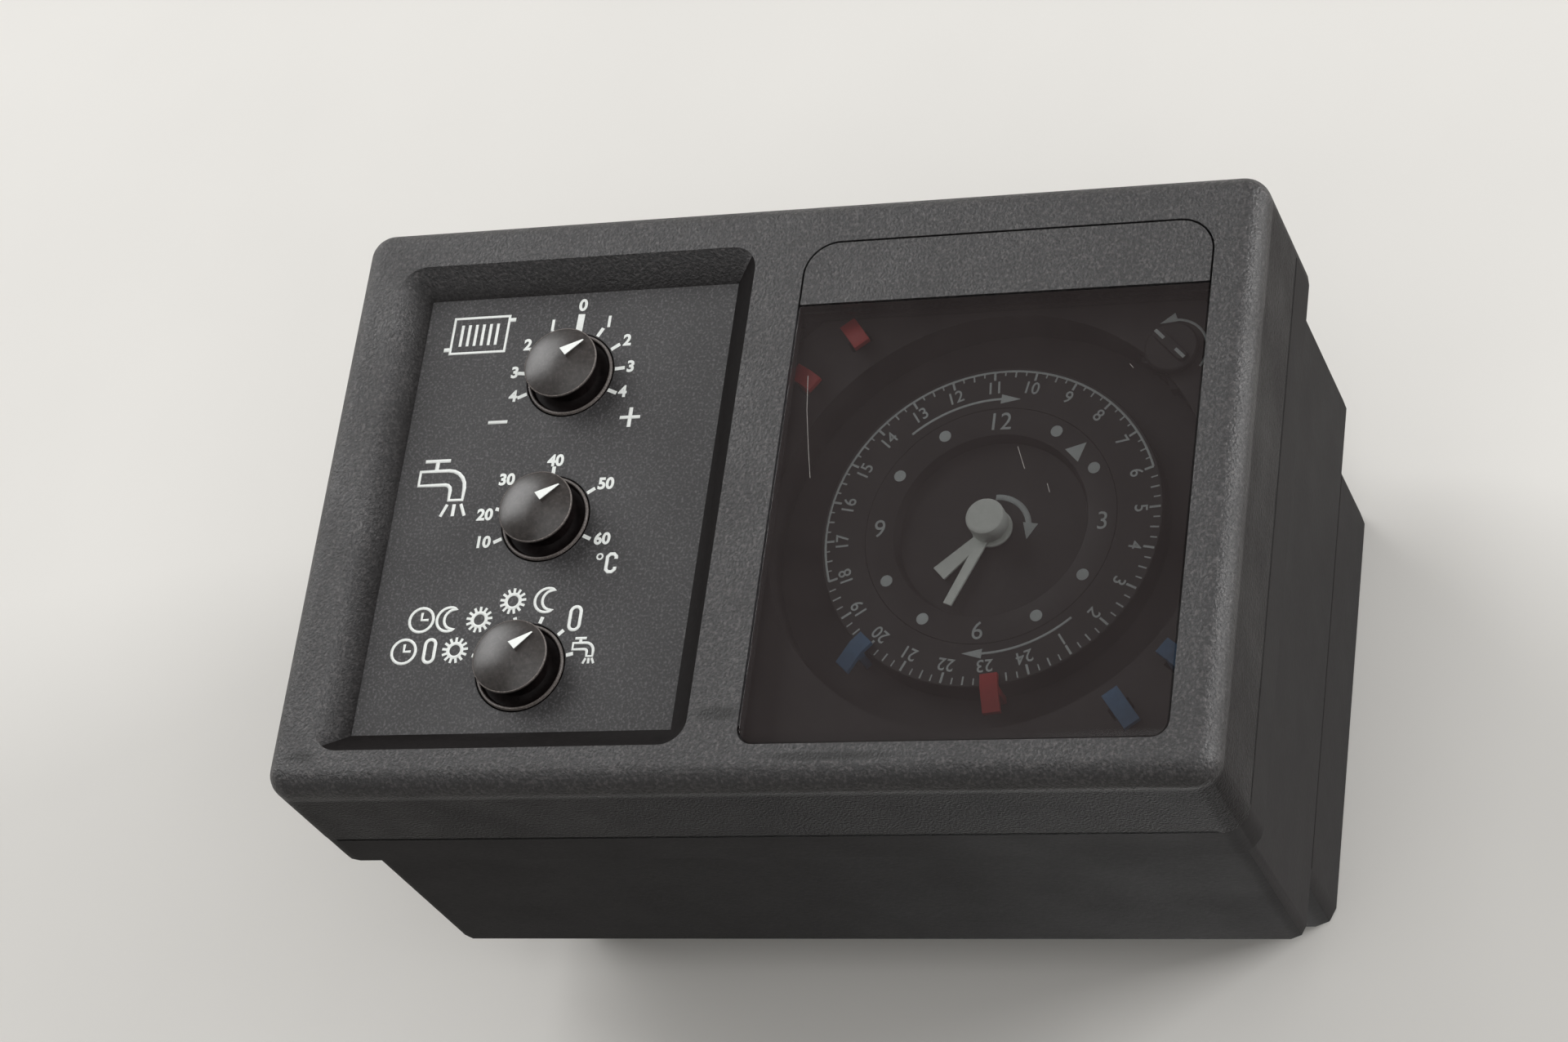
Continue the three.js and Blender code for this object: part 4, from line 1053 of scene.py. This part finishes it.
# ---- flap ---------------------------------------------------------------------------------
def flap_half(name, keep_below, level):
    """Flap blank with a bevel along its foot, cut off at a level."""
    plate = window_blank(-GAP, 0, PANE)
    foot = WINDOW_FOOT + GAP
    toe = block("toe", WINDOW["x"], foot - 1 + TOE["height"], 70, 2, -2, 0)
    pick(toe, "verts", lambda place, along: place.z > -0.01 and place.y < foot)
    bpy.ops.transform.translate(value=(0, TOE["depth"] * 2 / TOE["height"] * MM, 0))
    combine(plate, "DIFFERENCE", toe)
    only(plate)
    bpy.ops.object.mode_set(mode="EDIT")
    bpy.ops.mesh.select_all(action="SELECT")
    bpy.ops.mesh.bisect(plane_co=at(0, level, 0), plane_no=(0, 0, 1), use_fill=True,
                        clear_outer=keep_below, clear_inner=not keep_below)
    deselect()
    return called(plate, name)


class CONTROLLER_OT_flap(Operator):
    """Hinged flap: smoked window, textured grip with snap hooks, and wear"""
    bl_idname = "controller.flap"
    bl_label = "Flap"

    # a few hairline scratches, each a row of points in the front view
    SCRATCHES = [[(5.4, 17.2), (6.0, 11.5), (7.1, 5.0), (8.0, 0.3)],
                 [(39.0, 3.9), (40.4, 0.3)], [(44.0, -2.2), (44.5, -3.6)],
                 [(54.3, 16.4), (54.9, 15.7)]]

    def execute(self, context):
        edge = context.scene.controller_mouldings.edge
        pane = flap_half("flap_pane", True, STRIP_EDGE)
        combine(pane, "UNION", block("tongue", WINDOW["x"], STRIP_EDGE + 2, 52, 8, 1.2, PANE),
                *[peg(side, HINGE["pin"], HINGE["reach"]) for side in (-1, 1)])
        soften(pane, 0.25 * MM)
        dress(pane, finish("smoke"), "flap", ["flap_window"])

        grip = flap_half("flap_grip_moulding", False, STRIP_EDGE + GAP)
        combine(grip, "DIFFERENCE",
                block("pocket", WINDOW["x"], STRIP_EDGE + 3, 52.6, 7.6, 0.9, 3))
        for x in HOOKS:
            hook = block("hook", WINDOW["x"] + x, 36.9, 4.2, 1.1, 1, 5.6)
            combine(hook, "UNION", block("nib", WINDOW["x"] + x, 37.2, 4.2, 1.6, 5.0, 5.9))
            combine(grip, "UNION", hook)
        soften(grip, edge)
        dress(grip, finish("textured"), "flap", ["flap_grip"])

        wear = joined("flap_scratches",
                      [stroke(points, 0.09, -0.01) for points in self.SCRATCHES])
        dress(wear, finish("scratch"), "flap")
        return {"FINISHED"}


# ---- day clock ----------------------------------------------------------------------------
class CONTROLLER_OT_timer_face(Operator):
    """Plate round the day dial, with the trough, the slots for spare riders and its arrow"""
    bl_idname = "controller.timer_face"
    bl_label = "Timer face"

    THICK = 1.6
    CUP = {"outer": 34.2, "inner": 33.1, "floor": 11.6, "back": 12.8}      # the dial turns in it
    BEARING = (DIAL[0] - 7.79, DIAL[1] + 4.5)                              # motion wheel's boss
    # radius, front and back of the holes round the override's stem
    STEM_HOLES = ((1.8, 3, 8.6), (5.7, TIMER_FACE + THICK, 10.2), (2.7, 10, 14))

    def execute(self, context):
        back = TIMER_FACE + self.THICK
        made = block("timer_plate", *DIAL, 69, 69, TIMER_FACE, back)
        round_edges(made, 6, 1, lambda place, along: abs(along.y) > 0.99)
        skirt = block("skirt", DIAL[0] - 3, DIAL[1] - 34.1, 63, 7.2, TIMER_FACE, back)
        combine(made, "UNION", skirt)
        outer, inner = self.CUP["outer"], self.CUP["inner"]
        cup = turned("cup", [(outer, TIMER_FACE + LAP), (outer, self.CUP["back"])], *DIAL,
                     steps=128)
        boss = turned("boss", [(1.8, 11.0), (1.8, 14.6)], *self.BEARING, steps=32)
        combine(made, "UNION", cup, boss)
        slot = block("slot", DIAL[0], DIAL[1] + 37.85, 3.4, 2.0, 0, 9)
        slots = [swung(copied(slot), angle, DIAL) for _, angle in PARKED]
        bpy.data.objects.remove(slot)
        trough = turned("trough", [(inner, TIMER_FACE - 1), (inner, self.CUP["floor"])], *DIAL,
                        steps=128)
        middle = turned("middle", [(4.1, 8), (4.1, 14)], *DIAL, steps=48)
        combine(made, "DIFFERENCE", trough, middle, *[
            turned("stem_hole", [(radius, near), (radius, far)], *OVERRIDE, steps=32)
            for radius, near, far in self.STEM_HOLES], *slots)
        soften(made, 0.2 * MM)
        dress(made, finish("dial"), "controller", ["timer_face"])

        sweep = arc(OVERRIDE, 5.0, 124, -16, 20)
        tip = polar(OVERRIDE, 5.05, -27.6)
        arrow = joined("override_print", [
            stroke(sweep, 0.45, TIMER_FACE),
            arrowhead(*tip, -112, 2.6, 1.5, TIMER_FACE)])
        dress(arrow, finish("dial_ink"), "controller")
        return {"FINISHED"}


def hour_angle(hour):
    """Angle of an hour of the day dial, clockwise from the top."""
    return (HOME_HOUR - hour) * 15 + HOME_ANGLE


class CONTROLLER_OT_day_dial(Operator):
    """Turning day dial with its printed hours"""
    bl_idname = "controller.day_dial"
    bl_label = "Day dial"

    # radius and depth round the section of the dial
    SECTION = [(25.5, 11.3), (25.5, 7.15), (25.35, 7.0), (18.88, 7.0), (18.84, 7.05),
               (18.84, 8.3), (23.9, 8.3), (23.9, 10.3), (2.9, 10.3), (2.9, 19.0), (3.8, 19.0),
               (3.8, 11.3)]

    def execute(self, context):
        dial = smooth(turned("day_dial_moulding", self.SECTION, *DIAL, steps=128, closed=True))
        dress(dial, finish("dial"), "day_train", ["day_dial"])

        # the lit half, 6 to 18 h, hangs its marks from an arc; the night half has loose marks
        lengths = ((23.5, 0.34), (24.15, 0.2), (23.85, 0.24), (24.15, 0.2))
        marks = [stroke(arc(DIAL, 24.85, hour_angle(18), hour_angle(6), 72), 0.4, DIAL_FACE)]
        for quarter in range(96):
            hour = quarter / 4
            inner, width = lengths[quarter % 4]
            outer = 24.85 if 6 <= hour <= 18 else 25.15
            marks.append(tick(DIAL, hour_angle(hour), inner, outer, width, DIAL_FACE))
        for hour in range(1, 25):
            angle = hour_angle(hour)
            marks.append(lettering(str(hour), *polar(DIAL, 22.3, angle), 2.0, DIAL_FACE,
                                   angle=angle, weight=0.02, squeeze=0.95))
        for start, end in ((-41.7, 7.0), (137.8, 185.6)):
            marks.append(stroke(arc(DIAL, 20.35, start, end - 7, 20), 0.42, DIAL_FACE))
            marks.append(arrowhead(*polar(DIAL, 20.35, end), end + 86, 3.0, 1.5, DIAL_FACE))
        dress(joined("day_dial_print", marks), finish("dial_ink"), "day_train")
        return {"FINISHED"}


def rider_blank():
    """Plug-in rider at the top of the dial: sloping tab, and the leg that grips the rim."""
    x, y = DIAL
    made = block("rider", x, y + 25.05, 2.6, 2.1, 5.9, 6.7)
    pick(made, "faces", lambda place, along: along.z > 0.9)
    bpy.ops.mesh.extrude_region_move(
        TRANSFORM_OT_translate={"value": (0, 1.35 * MM, 3.4 * MM)})
    deselect()
    combine(made, "UNION", block("leg", x, y + 26.35, 2.6, 1.1, 6.4, 10.6))
    return soften(made, 0.14 * MM)


class CONTROLLER_OT_riders(Operator):
    """Red and blue riders, on the dial and parked in the plate"""
    bl_idname = "controller.riders"
    bl_label = "Riders"

    def execute(self, context):
        blank = rider_blank()
        for name, angle in RIDING + PARKED:
            made = copied(blank)
            parked = (name, angle) in PARKED
            if parked:
                made.location = (0, -PARKED_RISE * MM, PARKED_OUT * MM)
                settle(made)
            called(swung(made, angle, DIAL), name + "_moulding")
            hue = "red" if "red" in name else "blue"
            dress(made, finish(hue), "controller" if parked else "day_train", [name])
        bpy.data.objects.remove(blank)
        return {"FINISHED"}


class CONTROLLER_OT_clock(Operator):
    """Fixed clock face, its printing, the two hands and the setting knob"""
    bl_idname = "controller.clock"
    bl_label = "Clock"

    # radius and depth round the section of the face, and down the side of the setting knob
    SECTION = [(18.78, 8.3), (18.78, 7.05), (18.74, 7.0), (14.75, 7.0), (14.55, 7.1),
               (14.0, 8.8), (1.9, 8.8), (1.9, 19.8), (2.6, 19.8), (2.6, 9.9), (15.3, 9.9),
               (15.3, 8.3)]
    CAP = [(2.2, 4.1), (2.55, 4.14), (2.76, 4.25), (2.85, 4.45), (2.85, 6.8), (2.7, 7.05)]

    def face_print(self):
        """Figures, dots and arrows of the fixed face."""
        marks = []
        for hour in range(1, 13):
            angle = hour * 30
            if hour % 3:
                marks.append(spot(*polar(DIAL, 16.9, angle), 0.9, DIAL_FACE))
            else:
                marks.append(lettering(str(hour), *polar(DIAL, 16.7, angle), 2.9, DIAL_FACE,
                                       squeeze=0.95))
        marks.append(arrowhead(*polar(DIAL, 18.2, 46.2), 45.4, 2.9, 3.0, DIAL_FACE))
        marks.append(stroke(arc(DIAL, 5.25, -2, 84, 14), 1.0, WELL_FLOOR))
        marks.append(arrowhead(*polar(DIAL, 5.35, 108), 188, 2.6, 2.3, WELL_FLOOR))
        return marks

    def hand(self, name, body, angle, depth, boss, hole, root, tip):
        """Flat pressed hand; root and tip are (distance from the axis, width) of its blade."""
        start, wide = root
        end, narrow = tip
        made = turned(name, [(boss, depth), (boss, depth + HAND_THICK)], *DIAL, steps=48)
        blade = block("blade", DIAL[0], DIAL[1] + (start + end) / 2, wide, end - start, depth,
                      depth + HAND_THICK)
        pick(blade, "verts", lambda place, along: place.y > DIAL[1] + end - 0.01)
        bpy.ops.transform.resize(value=(narrow / wide, 1, 1), center_override=at(DIAL[0], 0, 0))
        combine(made, "UNION", blade)
        combine(made, "DIFFERENCE",
                turned("hole", [(hole, depth - 1), (hole, depth + 1)], *DIAL, steps=32))
        soften(made, 0.07 * MM)
        called(swung(made, angle, DIAL), name + "_pressing")
        dress(made, finish("hands"), body, [name])

    def execute(self, context):
        face = smooth(turned("clock_face_moulding", self.SECTION, *DIAL, steps=128, closed=True))
        dress(face, finish("dial"), "controller", ["clock_face"])
        dress(joined("clock_print", self.face_print()), finish("dial_ink"), "controller")
        self.hand("minute_hand", "minute_train", angle=203, depth=7.35, boss=2.4, hole=1.1,
                  root=(1.8, 1.7), tip=(13.3, 1.3))
        self.hand("hour_hand", "hour_train", angle=226, depth=8.05, boss=3.0, hole=1.9,
                  root=(2.4, 1.7), tip=(10.1, 2.6))
        knob = smooth(turned("setting_knob_moulding", self.CAP, *DIAL, steps=64))
        dress(knob, finish("hands"), "minute_train", ["setting_knob"])
        return {"FINISHED"}


class CONTROLLER_OT_override(Operator):
    """Override knob with its finger bar and two printed dashes"""
    bl_idname = "controller.override"
    bl_label = "Override knob"

    # radius and depth down the side of the disc and its stem
    SECTION = [(3.7, 3.8), (4.0, 4.05), (4.0, 4.8), (1.4, 4.8), (1.4, 15.0)]

    def execute(self, context):
        x, y = OVERRIDE
        made = turned("override_knob_moulding", self.SECTION, x, y, steps=64)
        bar = rounded_block("bar", x, y, 6.8, 1.6, 0.75, 3.0, 4.2, 5)
        combine(made, "UNION", swung(bar, 45, OVERRIDE))
        soften(made, 0.12 * MM)
        dress(made, finish("dial"), "override", ["override_knob"])
        dashes = joined("override_dashes", [
            tick(OVERRIDE, angle, 1.3, 3.3, 0.5, 3.0) for angle in (-45, 135)])
        dress(dashes, finish("dial_ink"), "override")
        return {"FINISHED"}


# ---- what is inside, and the stage --------------------------------------------------------
INSIDE = {
    "brass": ["minute_arbor", "motion_wheel", "hour_wheel", "day_idler", "day_wheel",
              "motor_pinion"],
    "zinc": ["timer_bridge", "timer_motor", "curve_potentiometer", "water_potentiometer",
             *[f"case_screw_{i}" for i in range(1, 5)], "base_screw_1", "base_screw_2"],
    "nylon": ["curve_spindle", "water_spindle", "mode_spindle", "upper_plug", "lower_plug"],
    "dial": ["star_wheel"],
    "laminated": ["transformer"],
    "board": ["front_board", "power_board"],
    "relay": ["burner_relay", "pump_relay"],
    "ribbon": ["ribbon_cable"],
    "satin": ["timer_case", "contact_switch", "mode_switch", "capacitor",
              "upper_terminal_strip", "lower_terminal_strip"],
}


class CONTROLLER_OT_inside(Operator):
    """Finishes of the parts that are kept as the frame gives them"""
    bl_idname = "controller.inside"
    bl_label = "Clockwork and electronics"

    def execute(self, context):
        for look, nodes in INSIDE.items():
            for node in nodes:
                mesh = frame["nodes"][node].data
                mesh.materials.clear()
                mesh.materials.append(finish(look))
        return {"FINISHED"}


def lamp(name, size, watts, place, aim):
    """Soft square lamp at a place, turned to an aim."""
    light = bpy.data.lights.new(name, "AREA")
    light.size = size
    light.energy = watts
    made = bpy.data.objects.new(name, light)
    bpy.context.collection.objects.link(made)
    made.location = place
    made.rotation_euler = (aim - place).to_track_quat("-Z", "Y").to_euler()


def wall_paint():
    """Matt emulsion on plaster, pale. It shows from the room only, and shades nothing."""
    paint = linear("dedcd8")
    made, tree, surface, place = new_finish("pale_emulsion", paint, 0.9)
    mottle = noise(tree, place, 60, 3.0)
    wire(tree, surface, Base_Color=shade_range(tree, mottle, *tones(paint, 0.015)))
    facing = add_node(tree, "ShaderNodeNewGeometry").outputs["Backfacing"]
    shadow = add_node(tree, "ShaderNodeLightPath").outputs["Is Shadow Ray"]
    clear = add_node(tree, "ShaderNodeBsdfTransparent")
    cover = add_node(tree, "ShaderNodeMixShader", {
        0: calculated(tree, facing, shadow, "MAXIMUM"), 1: surface.outputs[0],
        2: clear.outputs[0]})
    tree.links.new(cover.outputs[0], tree.nodes["Material Output"].inputs["Surface"])
    return made


class CONTROLLER_OT_stage(Operator):
    """Pale wall, soft lamps, surrounding light and the camera"""
    bl_idname = "controller.stage"
    bl_label = "Stage"

    # lamp, setting and share of it, and in metres its size and place from the object's middle
    LAMPS = (("key_lamp", "key", 1, 0.9, (-0.88, -0.68, 0.66)),
             ("side_lamp", "side", 1, 0.5, (1.2, -0.25, 0.5)),
             ("fill_lamp", "fill", 1, 1.5, (0.35, -1.25, -0.25)),
             ("rear_lamp", "key", 2, 0.8, (0, 1.3, 0.1)))
    WALL_GAP = 0.6 * MM

    def execute(self, context):
        settings = context.scene.controller_stage
        deselect()
        bpy.ops.mesh.primitive_plane_add(size=6, location=(0, self.WALL_GAP, 0),
                                         rotation=(math.pi / 2, 0, 0))
        wall = settle(context.object, "wall")
        wall.data.materials.append(wall_paint())

        centre = Vector((0, -0.05, 0))
        for name, setting, share, size, place in self.LAMPS:
            lamp(name, size, share * getattr(settings, setting), centre + Vector(place), centre)

        world = bpy.data.worlds.new("surroundings")
        world.use_nodes = True
        light = world.node_tree.nodes["Background"].inputs
        light["Color"].default_value = (*linear("e6e4e0"), 1)
        light["Strength"].default_value = settings.world
        context.scene.world = world
        context.scene.view_settings.view_transform = "Standard"

        camera = bpy.data.cameras.new("camera")
        camera.sensor_width = 36
        camera.lens = settings.lens
        camera.clip_start = 0.01
        made = bpy.data.objects.new("camera", camera)
        context.collection.objects.link(made)
        level, side = settings.elevation, settings.azimuth
        ahead = Vector((-math.sin(side) * math.cos(level), math.cos(side) * math.cos(level),
                        -math.sin(level)))
        aim = at(4.9, -6.5, 0)
        turn = ahead.to_track_quat("-Z", "Y").to_matrix().to_4x4()
        roll = Matrix.Rotation(settings.roll, 4, "Z")
        made.matrix_world = Matrix.Translation(aim - ahead * settings.distance) @ turn @ roll
        context.scene.camera = made
        return {"FINISHED"}


# ---- add-on -------------------------------------------------------------------------------
STEPS = (CONTROLLER_OT_stage, CONTROLLER_OT_bezel, CONTROLLER_OT_housing, CONTROLLER_OT_panel,
         CONTROLLER_OT_panel_print, CONTROLLER_OT_knobs, CONTROLLER_OT_flap,
         CONTROLLER_OT_timer_face, CONTROLLER_OT_day_dial, CONTROLLER_OT_riders,
         CONTROLLER_OT_clock, CONTROLLER_OT_override, CONTROLLER_OT_inside)


class CONTROLLER_PT_build(Panel):
    """Sidebar panel with the settings and one button for each step"""
    bl_label = "Heating controller"
    bl_space_type = "VIEW_3D"
    bl_region_type = "UI"
    bl_category = "Controller"

    def draw(self, context):
        scene = context.scene
        for group in (scene.controller_mouldings, scene.controller_colours,
                      scene.controller_stage):
            column = self.layout.column(align=True)
            for name in group.bl_rna.properties.keys():
                if name not in ("rna_type", "name"):
                    column.prop(group, name)
        for step in STEPS:
            self.layout.operator(step.bl_idname)


CLASSES = (MouldingSettings, ColourSettings, StageSettings, *STEPS, CONTROLLER_PT_build)


def register():
    """Registers the classes and hangs their settings on the scene."""
    for item in CLASSES:
        bpy.utils.register_class(item)
    bpy.types.Scene.controller_mouldings = PointerProperty(type=MouldingSettings)
    bpy.types.Scene.controller_colours = PointerProperty(type=ColourSettings)
    bpy.types.Scene.controller_stage = PointerProperty(type=StageSettings)


def unregister():
    """Takes everything off again."""
    for name in ("controller_stage", "controller_colours", "controller_mouldings"):
        delattr(bpy.types.Scene, name)
    for item in reversed(CLASSES):
        bpy.utils.unregister_class(item)


def main():
    """Builds every piece in order."""
    register()
    for step in STEPS:
        getattr(bpy.ops.controller, step.bl_idname.split(".")[1])()


if __name__ == "__main__":
    main()
